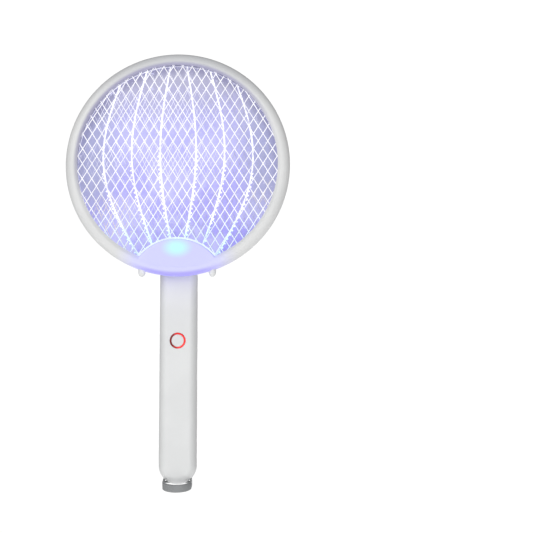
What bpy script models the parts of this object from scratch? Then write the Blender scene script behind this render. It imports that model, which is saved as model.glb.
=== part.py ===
"""Folding electric fly swatter with a lamp: a round netted head on a pivot at the end of a handle.

Metres, +Z up. The origin is the middle of the grip. The handle runs along Z with its domed tip down and
the head above. The front, where the round button is, faces -Y. The head turns 180 degrees about the
pivot's Y axis to fold down in front of the handle.
"""

import math

import bmesh
import bpy
from mathutils import Matrix, Vector

# Clearances
GAP = 0.0003  # between pieces that touch or slide
PARTING = 0.00015  # half of the joint line between two shells

# Handle
HANDLE_LENGTH = 0.2270
HANDLE_WIDTH = 0.0362
HANDLE_THICKNESS = 0.0261
HANDLE_WALL = 0.0020
HANDLE_EDGE_IN = 0.0080  # how far the rounded edge reaches in from the side
HANDLE_SIDE_STRAIGHT = 0.00105  # and how far each half's side stands straight before it rounds in
HANDLE_CORNER = 0.0040
END_EDGE_SHARE = 0.7  # the flat end is less rounded than the sides
TIP_WALL = 0.0080

# Pivot between handle and head
PIVOT_FROM_END = 0.0115
PIVOT_TUBE_RADIUS = 0.0040
PIVOT_BORE_RADIUS = 0.0024
PIVOT_FLANGE_RADIUS = 0.0064
PIVOT_FLANGE_THICKNESS = 0.0018
PIVOT_DISC_RADIUS = 0.0125
PIVOT_DISC_THICKNESS = 0.0021
CLIP_RADIUS = 0.0056
CLIP_THICKNESS = 0.0012
CLIP_GROOVE = 0.0008
SPRING_WASHER_RADIUS = 0.0050
SPRING_WASHER_THICKNESS = 0.0004
TUBE_BEYOND_CLIP = 0.0012
LEAD_BUNDLE_RADIUS = 0.0014
LEADS_IN_HEAD = 0.0020  # how far the leads stand out of the tube at each end
LEADS_IN_HANDLE = 0.0028

# Head
HEAD_DIAMETER = 0.2150
HEAD_DEPTH = 0.0188
PIVOT_TO_HEAD_BOTTOM = 0.0185
RIM_ROUND_WIDTH = 0.0080
LIP_WIDTH = 0.0037  # from the crest of the rim in to the opening
CREST_LAND = 0.0007  # width of the nearly flat top of the crest
CREST_FALL = 0.0001
LIP_DROP = 0.0022
LIP_THICKNESS = 0.0009
SEAT_WIDTH = 0.0028  # how far the lip covers the stack of nets
HEAD_WALL = 0.0020
CHIN_HEIGHT = 0.0350
CHIN_RADIUS = 0.0460
CHIN_WALL = 0.0020
CHIN_SINK = 0.00015  # the chin's faces lie this far inside the rim's crests
CHIN_PLATE_LAP = 0.0005  # how far the chin plates run past the crest into the rim

# Stack of nets, clamped between the two lips
FRAME_WIDTH = 0.0020
ARCH_WIDTH = 0.0015  # the frames are narrower over the chin
BAR_BITE = 0.0008  # how far a bar's end runs into the arch
GUARD_THICKNESS = 0.0016
GRID_FRAME_THICKNESS = 0.0010
SPACER_THICKNESS = 0.0012
SCREEN_THICKNESS = 0.0004
WIRE_PITCH = 0.0077
WIRE_SLOPE = math.radians(58)
GRID_PITCH = 0.0083
GRID_SLOPE = math.radians(66)
GUARD_WIRE = 0.0006
GRID_WIRE = 0.0006
RUNG_PITCH = 0.0096
RUNG_WIDTH = 0.0012
RIB_WIDTH = 0.0018
RIB_THICKNESS = 0.0013
RIB_TOPS = (0.0078, 0.0304, 0.0560)  # each pair of ribs, out from the middle at the top
RIB_MIDDLES = (0.0172, 0.0446, 0.0712)  # at mid height
RIB_FEET = (0.0067, 0.0238, 0.0365)  # and on the chin's arch

# Lamp in the chin
LENS_WIDTH = 0.0220
LENS_DEPTH = 0.0100
LAMP_BOARD_WIDTH = 0.0320
LAMP_BOARD_DEPTH = 0.0080
LAMP_BOARD_THICKNESS = 0.0012
LAMP_BOARD_DROP = 0.0080
LED_SIZE = 0.0035
LED_HEIGHT = 0.0016
LED_PITCH = 0.0090

# Feet under the head
FOOT_ANGLE = math.radians(18.16)  # round the rim from its lowest point
FOOT_RADIUS = 0.0035
FOOT_FLANGE = 0.0006
FOOT_FLANGE_THICKNESS = 0.0010
FOOT_ROOM = 0.0009  # between the flange and the curved floor of the rim
FOOT_BELOW_RIM = 0.0007

# Controls
FRONT_BUTTON_FROM_TIP = 0.1364
FRONT_BUTTON_RADIUS = 0.00585
LIGHT_RING_RADIUS = 0.0074
FRONT_BUTTON_PROUD = 0.0006
FRONT_BUTTON_TRAVEL = 0.0006
BUTTON_CHAMFER = 0.0005
RING_BEHIND_WALL = 0.0005
PRESS_SWITCH_SIDE = 0.0060
BUTTON_STEM_RADIUS = 0.0020
BUTTON_STEM_LENGTH = 0.0030
BUTTON_FLANGE = 0.0010  # thickness of the flange that keeps a button in
FLANGE_OVERLAP = 0.0007
SLIDE_FROM_TIP = 0.10575
SLIDE_LENGTH = 0.0307
SIDE_CONTROL_WIDTH = 0.0080
SLIDE_KNOB_FROM_TIP = 0.1032
SLIDE_KNOB_LENGTH = 0.0126
SLIDE_TRAVEL_DOWN = 0.0060
SLIDE_TRAVEL_UP = 0.0110
BEZEL_RECESS = 0.0021
BEZEL_THICKNESS = 0.0013
KNOB_CAP = 0.0016
KNOB_SIDE_ROOM = 0.0012
SLIDE_STEM_WIDTH = 0.0020
SLIDE_STEM_LENGTH = 0.0030
SLIDE_STEM_REACH = 0.0018  # behind the bezel
SLIDE_SWITCH_X = 0.0075
SLIDE_SWITCH_FRONT = 0.0030
SLIDE_SWITCH_END = 0.0025
SIDE_BUTTON_FROM_TIP = 0.1353
SIDE_BUTTON_LENGTH = 0.0223
SIDE_BUTTON_PROUD = 0.0001
SIDE_BUTTON_TRAVEL = 0.0008
CAP_BITE = 0.0005  # how far a cap runs into its flange
SIDE_SWITCH_X = 0.0080
SIDE_SWITCH_FRONT = 0.0027
SIDE_SWITCH_LENGTH = 0.0080

# Hanging loop
LOOP_INSET = 0.0043  # the loop is this much narrower than the handle on each side
LOOP_WIDTH = HANDLE_WIDTH - 2 * LOOP_INSET
LOOP_BAND = 0.0070
LOOP_THICKNESS = 0.0017
LOOP_BEND_THICKNESS = 0.0030  # the bend is thicker than the arms
LOOP_REACH = 0.0238  # from the pin to the far side
LOOP_PIN_FROM_TIP = 0.0022
LOOP_PIN_RADIUS = 0.0010
LOOP_ARM_END = 0.0012
LOOP_SWING = math.radians(77)  # forward from hanging straight

# Battery and electronics
BATTERY_ROOM = 0.0018  # between the cell and the shells' inner faces
BATTERY_DIAMETER = HANDLE_THICKNESS - 2 * (HANDLE_WALL + BATTERY_ROOM)
BATTERY_LENGTH = 0.0650
BATTERY_FROM_TIP = 0.0235
CELL_NUB_RADIUS = 0.0030
CELL_NUB_HEIGHT = 0.0010
CELL_SHOULDER = 0.0010
CONTACT_WIDTH = 0.0120
CONTACT_THICKNESS = 0.0008
SPRING_LENGTH = 0.0062
SPRING_WIRE_RADIUS = 0.0004
SPRING_LOW_RADIUS = 0.0058
SPRING_HIGH_RADIUS = 0.0032
SPRING_TURNS = 4
BATTERY_TO_BOARD = 0.0050
BOARD_WIDTH = 0.0190
BOARD_THICKNESS = 0.0016
BOARD_BEHIND_MIDDLE = 0.0040
BOARD_LENGTH = 0.0720
TRANSFORMER_WIDTH = 0.0130
TRANSFORMER_LENGTH = 0.0140
TRANSFORMER_ROOM = 0.0030  # in front of it, to the shell's inner face
TRANSFORMER_FROM_END = 0.0080
CAPACITOR_WIDTH = 0.0085
CAPACITOR_LENGTH = 0.0130
CAPACITOR_HEIGHT = 0.0097
CAPACITOR_FROM_END = 0.0030

# Charging socket in the left edge
SOCKET_UP_BOARD = 0.0220
SOCKET_LENGTH = 0.0090
SOCKET_DEPTH = 0.0070
SOCKET_FROM_EDGE = 0.0007
SOCKET_OFF_PARTING = 0.0006
SOCKET_SIDE_WALL = 0.0006
SOCKET_END_WALL = 0.0008
SOCKET_BACK_WALL = 0.0015
SOCKET_FRONT_ROOM = 0.0012

# Screws
SCREW_RADIUS = 0.0011
SCREW_HEAD_RADIUS = 0.0021
SCREW_HEAD_HEIGHT = 0.0014
SCREW_BITE = 0.0060  # how far a screw goes into the front half
BOSS_WALL = 0.0013
HANDLE_SCREWS_FROM_TIP = 0.0120
HANDLE_SCREWS_FROM_END = (0.0565, 0.0285)
HEAD_SCREW_ANGLES = (38, 142, 218, 322)
HEAD_SCREW_RADIUS = 0.0008
HEAD_SCREW_HEAD_HEIGHT = 0.0011
HEAD_SCREW_SINK = 0.0036  # from the back crest down to the underside of the screw's head
HEAD_SCREW_BITE = 0.0032
HEAD_BOSS_WALL = 0.0010
HEAD_TOWER_WALL = 0.0016

# Facets
ROUND_STEPS = 36
DOME_STEPS = 14
SMALL_STEPS = 12
STADIUM_STEPS = 8
SHARP_ANGLE = math.radians(32)

TIP_Z = -HANDLE_LENGTH / 2
END_Z = HANDLE_LENGTH / 2
HALF_WIDTH = HANDLE_WIDTH / 2
HALF_THICKNESS = HANDLE_THICKNESS / 2
PIVOT_Z = END_Z - PIVOT_FROM_END
HEAD_RADIUS = HEAD_DIAMETER / 2
HALF_DEPTH = HEAD_DEPTH / 2
FOOT_OFFSET = HEAD_RADIUS * math.sin(FOOT_ANGLE)
HEAD_Z = PIVOT_Z + HEAD_RADIUS - PIVOT_TO_HEAD_BOTTOM
HEAD_BACK_Y = -HALF_THICKNESS - PIVOT_DISC_THICKNESS - 2 * GAP
HEAD_Y = HEAD_BACK_Y - HALF_DEPTH
CREST_RADIUS = HEAD_RADIUS - RIM_ROUND_WIDTH
OPENING_RADIUS = CREST_RADIUS - LIP_WIDTH
SEAT_RADIUS = OPENING_RADIUS + SEAT_WIDTH
FRAME_RADIUS = SEAT_RADIUS - GAP
FRAME_INNER = FRAME_RADIUS - FRAME_WIDTH
SEAT_Y = HALF_DEPTH - LIP_DROP - LIP_THICKNESS
SCREW_SEAT = HALF_THICKNESS - SCREW_HEAD_HEIGHT - 2 * GAP
SCREW_LENGTH = SCREW_SEAT + SCREW_BITE
HEAD_SCREW_SEAT = HALF_DEPTH - HEAD_SCREW_SINK
HEAD_SCREW_LENGTH = HEAD_SCREW_SEAT + HEAD_SCREW_BITE
CAVITY_RADIUS = SEAT_RADIUS + HEAD_WALL
CHIN_Z = -HEAD_RADIUS + CHIN_HEIGHT - CHIN_RADIUS  # centre of the chin's arc, from the head's centre
PIN_Z = TIP_Z + LOOP_PIN_FROM_TIP
HEAD_CENTRE = Vector((0, HEAD_Y, HEAD_Z))
PIVOT_CENTRE = Vector((0, 0, PIVOT_Z))
BATTERY_LOW = TIP_Z + BATTERY_FROM_TIP
BATTERY_HIGH = BATTERY_LOW + BATTERY_LENGTH
BOARD_LOW = BATTERY_HIGH + BATTERY_TO_BOARD
BOARD_FRONT = BOARD_BEHIND_MIDDLE
ON_BOARD = BOARD_FRONT - GAP

X_AXIS, Y_AXIS, Z_AXIS = Vector((1, 0, 0)), Vector((0, 1, 0)), Vector((0, 0, 1))

WHITE = ((0.86, 0.87, 0.87), 0.38, 0.0)
NET_WHITE = ((0.92, 0.92, 0.95), 0.35, 0.0)
STEEL = ((0.62, 0.62, 0.64), 0.30, 1.0)
LAVENDER = ((0.62, 0.60, 1.00), 0.60, 0.0)
GREY = ((0.28, 0.29, 0.30), 0.45, 0.0)
BLACK = ((0.03, 0.03, 0.03), 0.50, 0.0)
GREEN = ((0.03, 0.22, 0.10), 0.45, 0.0)
BLUE = ((0.05, 0.20, 0.50), 0.40, 0.0)
RED = ((0.80, 0.06, 0.06), 0.30, 0.0)
YELLOW = ((0.80, 0.62, 0.10), 0.45, 0.0)


def clear_scene():
    for old in list(bpy.data.objects):
        bpy.data.objects.remove(old, do_unlink=True)


def material_of(name, finish):
    colour, roughness, metallic = finish
    material = bpy.data.materials.new(name)
    material.use_nodes = True
    shader = material.node_tree.nodes["Principled BSDF"]
    shader.inputs["Base Color"].default_value = (*colour, 1)
    shader.inputs["Roughness"].default_value = roughness
    shader.inputs["Metallic"].default_value = metallic
    return material


def add_piece(bm, name, finish, smooth=True):
    """Closes a bmesh into a named object, or into a hidden cutter where finish is None."""
    bmesh.ops.remove_doubles(bm, verts=bm.verts, dist=1e-7)
    bmesh.ops.recalc_face_normals(bm, faces=bm.faces)
    mesh = bpy.data.meshes.new(name)
    bm.to_mesh(mesh)
    bm.free()
    piece = bpy.data.objects.new(name, mesh)
    bpy.context.scene.collection.objects.link(piece)
    if finish is None:
        piece.hide_render = True
        piece.display_type = "WIRE"
        return piece
    mesh.materials.append(material_of(name, finish))
    if smooth:
        mesh.shade_smooth()
        mesh.set_sharp_from_angle(angle=SHARP_ANGLE)
    return piece


def boolean(target, others, operation):
    """One Boolean for all the others at once, which keeps its result closed."""
    group = bpy.data.collections.new(f"{target.name}_{operation.lower()}")
    for other in others:
        group.objects.link(other)
    modifier = target.modifiers.new(group.name, "BOOLEAN")
    modifier.operation = operation
    modifier.solver = "EXACT"
    modifier.operand_type = "COLLECTION"
    modifier.collection = group


def cut(target, *cutters):
    boolean(target, cutters, "DIFFERENCE")


def join(target, *others):
    boolean(target, others, "UNION")


def box(name, low, high, finish=None):
    low, high = Vector(low), Vector(high)
    bm = bmesh.new()
    bmesh.ops.create_cube(bm, size=1)
    bmesh.ops.scale(bm, vec=high - low, verts=bm.verts)
    bmesh.ops.translate(bm, vec=(low + high) / 2, verts=bm.verts)
    return add_piece(bm, name, finish, smooth=False)


def prism(name, outline, low, high, finish=None, along=Y_AXIS, place=Vector((0, 0, 0))):
    """An outline of two-number points, in the plane across the axis, extruded along it from low to high."""
    first = X_AXIS if along is not X_AXIS else Y_AXIS
    second = Z_AXIS if along is not Z_AXIS else Y_AXIS
    bm = bmesh.new()
    base = [bm.verts.new(place + first * a + second * b + along * low) for a, b in outline]
    top = bmesh.ops.extrude_face_region(bm, geom=[bm.faces.new(base)])["geom"]
    raised = [item for item in top if isinstance(item, bmesh.types.BMVert)]
    bmesh.ops.translate(bm, vec=along * (high - low), verts=raised)
    return add_piece(bm, name, finish)


def turned(name, profile, centre, along, finish=None, steps=SMALL_STEPS):
    """A profile of (radius, distance along the axis) points, spun about an axis through centre."""
    side = X_AXIS if along is not X_AXIS else Y_AXIS
    bm = bmesh.new()
    points = [bm.verts.new(centre + side * radius + along * distance) for radius, distance in profile]
    edges = [bm.edges.new(pair) for pair in zip(points, points[1:])]
    if profile[0][0] > 0 and profile[-1][0] > 0:
        edges.append(bm.edges.new((points[-1], points[0])))
    turn = {"cent": centre, "axis": along, "angle": math.tau, "steps": steps, "use_merge": True}
    bmesh.ops.spin(bm, geom=points + edges, **turn)
    return add_piece(bm, name, finish)


def rod(name, radius, low, high, centre, along, finish=None, steps=SMALL_STEPS):
    return turned(name, [(0, low), (radius, low), (radius, high), (0, high)], centre, along, finish, steps)


def washer(name, inner, outer, low, high, centre, along, finish=None, steps=SMALL_STEPS):
    profile = [(inner, low), (outer, low), (outer, high), (inner, high)]
    return turned(name, profile, centre, along, finish, steps)


def arc(centre, radius, start, end, steps):
    """Points along an arc in degrees, both ends included."""
    angles = [math.radians(start + (end - start) * k / steps) for k in range(steps + 1)]
    return [(centre[0] + radius * math.cos(a), centre[1] + radius * math.sin(a)) for a in angles]


def stadium(length, width, middle=0.0):
    """A slot outline, long along the second axis."""
    straight, radius = (length - width) / 2, width / 2
    upper = arc((0, middle + straight), radius, 0, 180, STADIUM_STEPS)
    return upper + arc((0, middle - straight), radius, 180, 360, STADIUM_STEPS)


# ---------------------------------------------------------------- handle


def handle_outline(wall, rounding, raise_tip=0.0):
    """The handle seen from the front: a half circle at the tip and a flat end with small corners."""
    radius = HALF_WIDTH - wall - rounding
    top = END_Z - wall - END_EDGE_SHARE * rounding
    corner = HANDLE_CORNER
    points = arc((0, TIP_Z + HALF_WIDTH + raise_tip), radius, 180, 360, DOME_STEPS)
    points += arc((radius - corner, top - corner), corner, 0, 90, 3)
    points += arc((corner - radius, top - corner), corner, 90, 180, 3)
    return points


def half_body(name, side, wall, steps, start, raise_tip=0.0, finish=None):
    """Half of the handle's thickness, from the parting plane out to its flat face, by lofting outlines."""
    depth = HALF_THICKNESS - HANDLE_SIDE_STRAIGHT - wall
    reach = HANDLE_EDGE_IN - wall / 2
    levels = [(start, 0.0)]
    for k in range(steps + 1):
        turn = math.pi / 2 * k / steps
        levels.append((HANDLE_SIDE_STRAIGHT + depth * math.sin(turn), reach * (1 - math.cos(turn))))
    bm = bmesh.new()
    loops = []
    for level, rounding in levels:
        outline = handle_outline(wall, rounding, raise_tip)
        verts = [bm.verts.new((x, side * level, z)) for x, z in outline]
        edges = [bm.edges.new((verts[k - 1], verts[k])) for k in range(len(verts))]
        loops.append((verts, edges))
    for (_, lower), (_, upper) in zip(loops, loops[1:]):
        bmesh.ops.bridge_loops(bm, edges=lower + upper)
    bm.faces.new(loops[0][0])
    bm.faces.new(loops[-1][0])
    return add_piece(bm, name, finish)


def screw_places():
    return [TIP_Z + HANDLE_SCREWS_FROM_TIP] + [END_Z - share for share in HANDLE_SCREWS_FROM_END]


def side_openings():
    """Cutters for the slide's slot and the side button, which straddle the parting plane on the +X side."""
    slot = stadium(SLIDE_LENGTH, SIDE_CONTROL_WIDTH, TIP_Z + SLIDE_FROM_TIP)
    press = stadium(SIDE_BUTTON_LENGTH, SIDE_CONTROL_WIDTH, TIP_Z + SIDE_BUTTON_FROM_TIP)
    low, high = HALF_WIDTH - 2 * HANDLE_WALL, HALF_WIDTH + HANDLE_WALL
    return (
        prism("slide_slot_cutter", slot, low, high, along=X_AXIS),
        prism("side_button_cutter", press, low, high, along=X_AXIS),
    )


def loop_seats():
    """Cutters for the loop's pin, which the two shells clamp, and for the ends of its arms."""
    pin = Vector((0, 0, PIN_Z))
    inside = LOOP_WIDTH / 2 - LOOP_THICKNESS
    arm = math.hypot(LOOP_BAND / 2, LOOP_ARM_END) + 2 * GAP
    tunnel = rod("loop_pin_cutter", LOOP_PIN_RADIUS + GAP, -HALF_WIDTH, HALF_WIDTH, pin, X_AXIS)
    right = rod("loop_arm_cutter_right", arm, inside - GAP, HANDLE_WIDTH, pin, X_AXIS)
    left = rod("loop_arm_cutter_left", arm, -HANDLE_WIDTH, GAP - inside, pin, X_AXIS)
    return tunnel, right, left


def charge_socket_box(spread):
    """Low and high corners of the charging socket, grown by spread."""
    middle = BOARD_LOW + SOCKET_UP_BOARD
    mouth = SOCKET_FROM_EDGE - HALF_WIDTH
    low = Vector((mouth, PARTING + SOCKET_OFF_PARTING, middle - SOCKET_LENGTH / 2))
    high = Vector((mouth + SOCKET_DEPTH, ON_BOARD, middle + SOCKET_LENGTH / 2))
    growth = Vector((1, 1, 1)) * spread
    return low - growth, high + growth


def screw_drill(name, centre, seat, radius, head_radius, length, mouth):
    """A cutter for a screw's shank and its sunk head, whose underside rests at seat."""
    profile = [
        (0, seat - length - 2 * GAP),
        (radius + GAP, seat - length - 2 * GAP),
        (radius + GAP, seat - GAP),
        (head_radius + GAP, seat - GAP),
        (head_radius + GAP, mouth),
        (0, mouth),
    ]
    return turned(name, profile, centre, Y_AXIS, steps=10)


def handle_shells():
    front = half_body("handle_front_shell", -1, 0, 4, PARTING, finish=WHITE)
    back = half_body("handle_back_shell", 1, 0, 4, PARTING, finish=WHITE)
    raised = TIP_WALL - HANDLE_WALL
    cut(front, half_body("front_cavity", -1, HANDLE_WALL, 3, -0.002, raised))
    cut(back, half_body("back_cavity", 1, HANDLE_WALL, 3, -0.002, raised))
    boss_radius = SCREW_RADIUS + GAP + BOSS_WALL
    inner_face = HALF_THICKNESS - HANDLE_WALL / 2
    front_bosses, back_bosses, shared = [], [], [*side_openings(), *loop_seats()]
    for number, place in enumerate(screw_places(), 1):
        centre = Vector((0, 0, place))
        front_bosses.append(
            rod(f"front_boss_{number}", boss_radius, -inner_face, -GAP, centre, Y_AXIS, steps=12)
        )
        back_bosses.append(
            rod(f"back_boss_{number}", boss_radius, GAP, inner_face, centre, Y_AXIS, steps=12)
        )
        sizes = (SCREW_RADIUS, SCREW_HEAD_RADIUS, SCREW_LENGTH, HANDLE_THICKNESS)
        shared.append(screw_drill(f"handle_screw_cutter_{number}", centre, SCREW_SEAT, *sizes))
    join(front, *front_bosses)
    join(back, *back_bosses)
    button = Vector((0, 0, TIP_Z + FRONT_BUTTON_FROM_TIP))
    through = (-HANDLE_THICKNESS, -HALF_THICKNESS + 2 * HANDLE_WALL)
    button_hole = rod("front_button_cutter", LIGHT_RING_RADIUS + GAP, *through, button, Y_AXIS, steps=24)
    pivot_hole = rod("pivot_hole_cutter", PIVOT_TUBE_RADIUS + GAP, *through, PIVOT_CENTRE, Y_AXIS, steps=24)
    low, high = charge_socket_box(GAP)
    socket_hole = box("charge_socket_cutter", (low.x - HANDLE_WALL, low.y, low.z), high)
    cut(front, button_hole, pivot_hole, *shared)
    cut(back, socket_hole, *shared)


def screw(name, centre, along, radius, head_radius, head_height, length):
    """A pan-head screw: centre is the underside of its head and along points to the head."""
    profile = [
        (0, head_height),
        (0.7 * head_radius, head_height),
        (head_radius, 0.5 * head_height),
        (head_radius, 0),
        (radius, 0),
        (radius, radius - length),
        (0, -length),
    ]
    turned(name, profile, centre, along, STEEL, steps=8)


def handle_screws():
    for number, place in enumerate(screw_places(), 1):
        seat = Vector((0, SCREW_SEAT, place))
        sizes = (SCREW_RADIUS, SCREW_HEAD_RADIUS, SCREW_HEAD_HEIGHT, SCREW_LENGTH)
        screw(f"handle_screw_{number}", seat, Y_AXIS, *sizes)


# ---------------------------------------------------------------- controls


def front_button():
    centre = Vector((0, 0, TIP_Z + FRONT_BUTTON_FROM_TIP))
    face = HALF_THICKNESS
    ring_inner = FRONT_BUTTON_RADIUS + GAP
    ring_back = -face + HANDLE_WALL + RING_BEHIND_WALL
    ring = (ring_inner, LIGHT_RING_RADIUS, -face - GAP, ring_back)
    washer("light_ring", *ring, centre, Y_AXIS, RED, steps=20)
    flange = ring_back + GAP
    flange_back = flange + BUTTON_FLANGE
    stem_end = flange_back + BUTTON_STEM_LENGTH
    profile = [
        (0, -face - FRONT_BUTTON_PROUD),
        (FRONT_BUTTON_RADIUS - BUTTON_CHAMFER, -face - FRONT_BUTTON_PROUD),
        (FRONT_BUTTON_RADIUS, -face - FRONT_BUTTON_PROUD + BUTTON_CHAMFER),
        (FRONT_BUTTON_RADIUS, flange),
        (ring_inner + FLANGE_OVERLAP, flange),
        (ring_inner + FLANGE_OVERLAP, flange_back),
        (BUTTON_STEM_RADIUS, flange_back),
        (BUTTON_STEM_RADIUS, stem_end),
        (0, stem_end),
    ]
    turned("front_button", profile, centre, Y_AXIS, WHITE, steps=20)
    switch_top = stem_end + FRONT_BUTTON_TRAVEL + GAP
    half = PRESS_SWITCH_SIDE / 2
    low, high = (-half, switch_top, centre.z - half), (half, ON_BOARD, centre.z + half)
    box("front_press_switch", low, high, BLACK)


def slide_control():
    middle = TIP_Z + SLIDE_FROM_TIP
    knob_z = TIP_Z + SLIDE_KNOB_FROM_TIP
    outer = HALF_WIDTH - BEZEL_RECESS
    inner = outer - BEZEL_THICKNESS
    plate = stadium(SLIDE_LENGTH - 2 * GAP, SIDE_CONTROL_WIDTH - 2 * GAP, middle)
    bezel = prism("slide_bezel", plate, inner, outer, WHITE, along=X_AXIS)
    stem = (SLIDE_STEM_WIDTH / 2, SLIDE_STEM_LENGTH / 2)
    window = (
        (inner - HANDLE_WALL, -stem[0] - GAP, knob_z - SLIDE_TRAVEL_DOWN - stem[1] - GAP),
        (outer + HANDLE_WALL, stem[0] + GAP, knob_z + SLIDE_TRAVEL_UP + stem[1] + GAP),
    )
    cut(bezel, box("slide_window_cutter", *window))
    cap = stadium(SLIDE_KNOB_LENGTH, SIDE_CONTROL_WIDTH - 2 * KNOB_SIDE_ROOM, knob_z)
    knob = prism("slide_knob", cap, outer + GAP, outer + GAP + KNOB_CAP, WHITE, along=X_AXIS)
    foot = inner - SLIDE_STEM_REACH
    low, high = (foot, -stem[0], knob_z - stem[1]), (outer + 2 * GAP, stem[0], knob_z + stem[1])
    join(knob, box("slide_stem", low, high))
    lowest = knob_z - SLIDE_TRAVEL_DOWN - SLIDE_SWITCH_END
    highest = knob_z + SLIDE_TRAVEL_UP + SLIDE_SWITCH_END
    low, high = (SLIDE_SWITCH_X, -SLIDE_SWITCH_FRONT, lowest), (foot - GAP, ON_BOARD, highest)
    box("slide_switch", low, high, STEEL)


def side_button():
    middle = TIP_Z + SIDE_BUTTON_FROM_TIP
    flange_top = HALF_WIDTH - HANDLE_WALL - BUTTON_FLANGE
    cap = stadium(SIDE_BUTTON_LENGTH - 2 * GAP, SIDE_CONTROL_WIDTH - 2 * GAP, middle)
    spread = 2 * FLANGE_OVERLAP
    flange = stadium(SIDE_BUTTON_LENGTH + spread, SIDE_CONTROL_WIDTH + spread, middle)
    flange_low = flange_top - BUTTON_FLANGE
    reach = (flange_top - CAP_BITE, HALF_WIDTH + SIDE_BUTTON_PROUD)
    button = prism("side_button", cap, *reach, WHITE, along=X_AXIS)
    join(button, prism("side_button_flange", flange, flange_low, flange_top, along=X_AXIS))
    top = flange_low - SIDE_BUTTON_TRAVEL - GAP
    low = (SIDE_SWITCH_X, -SIDE_SWITCH_FRONT, middle - SIDE_SWITCH_LENGTH / 2)
    box("side_press_switch", low, (top, ON_BOARD, middle + SIDE_SWITCH_LENGTH / 2), BLACK)


def hanging_loop():
    """A flat band bent round in a U, closed by the pin that the tip of the handle holds."""
    pin = Vector((0, 0, PIN_Z))
    outside = LOOP_WIDTH / 2
    inside = outside - LOOP_THICKNESS
    bend = (0, outside - LOOP_REACH)
    hollow = (0, bend[1] + LOOP_BEND_THICKNESS - LOOP_THICKNESS)
    outline = arc(bend, outside, 180, 360, DOME_STEPS) + [(outside, LOOP_ARM_END), (inside, LOOP_ARM_END)]
    outline += arc(hollow, inside, 360, 180, DOME_STEPS) + [(-inside, LOOP_ARM_END), (-outside, LOOP_ARM_END)]
    loop = prism("hanging_loop", outline, -LOOP_BAND / 2, LOOP_BAND / 2, GREY)
    across = inside + LOOP_THICKNESS / 2
    bar = rod("loop_pin", LOOP_PIN_RADIUS, -across, across, Vector((0, 0, 0)), X_AXIS)
    join(loop, bar)
    swing = Matrix.Translation(pin) @ Matrix.Rotation(-LOOP_SWING, 4, X_AXIS)
    loop.matrix_world = swing
    bar.matrix_world = swing


# ---------------------------------------------------------------- inside the handle


def battery():
    middle = Vector((0, 0, 0))
    radius = BATTERY_DIAMETER / 2
    top = BATTERY_HIGH - CELL_NUB_HEIGHT
    cell = [
        (0, BATTERY_LOW),
        (radius, BATTERY_LOW),
        (radius, top - CELL_SHOULDER / 2),
        (radius - CELL_SHOULDER, top),
        (CELL_NUB_RADIUS, top),
        (CELL_NUB_RADIUS, BATTERY_HIGH),
        (0, BATTERY_HIGH),
    ]
    turned("battery_cell", cell, middle, Z_AXIS, BLUE, steps=24)
    low, half = BATTERY_HIGH + GAP, CONTACT_WIDTH / 2
    box("battery_contact", (-half, -half, low), (half, ON_BOARD, low + CONTACT_THICKNESS), STEEL)
    contact_spring(BATTERY_LOW - GAP - SPRING_LENGTH, BATTERY_LOW - GAP)


def contact_spring(low, high):
    """A cone-shaped wire spring under the cell."""
    wire, steps = SPRING_WIRE_RADIUS, 8 * SPRING_TURNS
    points = []
    for k in range(steps + 1):
        share = k / steps
        radius = SPRING_LOW_RADIUS + (SPRING_HIGH_RADIUS - SPRING_LOW_RADIUS) * share
        turn = math.tau * SPRING_TURNS * share
        height = low + wire + (high - low - 2 * wire) * share
        points.append((radius * math.cos(turn), radius * math.sin(turn), height))
    curve = bpy.data.curves.new("battery_spring", "CURVE")
    curve.dimensions = "3D"
    curve.bevel_depth = wire
    curve.bevel_resolution = 0
    curve.use_fill_caps = True
    spline = curve.splines.new("POLY")
    spline.points.add(len(points) - 1)
    for point, place in zip(spline.points, points):
        point.co = (*place, 1)
    curve.materials.append(material_of("battery_spring", STEEL))
    bpy.context.scene.collection.objects.link(bpy.data.objects.new("battery_spring", curve))


def electronics():
    board_high = BOARD_LOW + BOARD_LENGTH
    half, board_back = BOARD_WIDTH / 2, BOARD_FRONT + BOARD_THICKNESS
    box("main_board", (-half, BOARD_FRONT, BOARD_LOW), (half, board_back, board_high), GREEN)
    half, front = TRANSFORMER_WIDTH / 2, HANDLE_WALL + TRANSFORMER_ROOM - HALF_THICKNESS
    top = board_high - TRANSFORMER_FROM_END
    box("hv_transformer", (-half, front, top - TRANSFORMER_LENGTH), (half, ON_BOARD, top), YELLOW)
    foot, front = BOARD_LOW + CAPACITOR_FROM_END, ON_BOARD - CAPACITOR_HEIGHT
    box("hv_capacitor", (-CAPACITOR_WIDTH, front, foot), (0, ON_BOARD, foot + CAPACITOR_LENGTH), BLUE)
    low, high = charge_socket_box(0)
    socket = box("charge_socket", low, high, STEEL)
    inset = Vector((0, SOCKET_SIDE_WALL, SOCKET_END_WALL))
    mouth, back = X_AXIS * SOCKET_FROM_EDGE, X_AXIS * SOCKET_BACK_WALL
    cut(socket, box("charge_socket_mouth", low + inset - mouth, high - inset - back))


# ---------------------------------------------------------------- pivot


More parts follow.
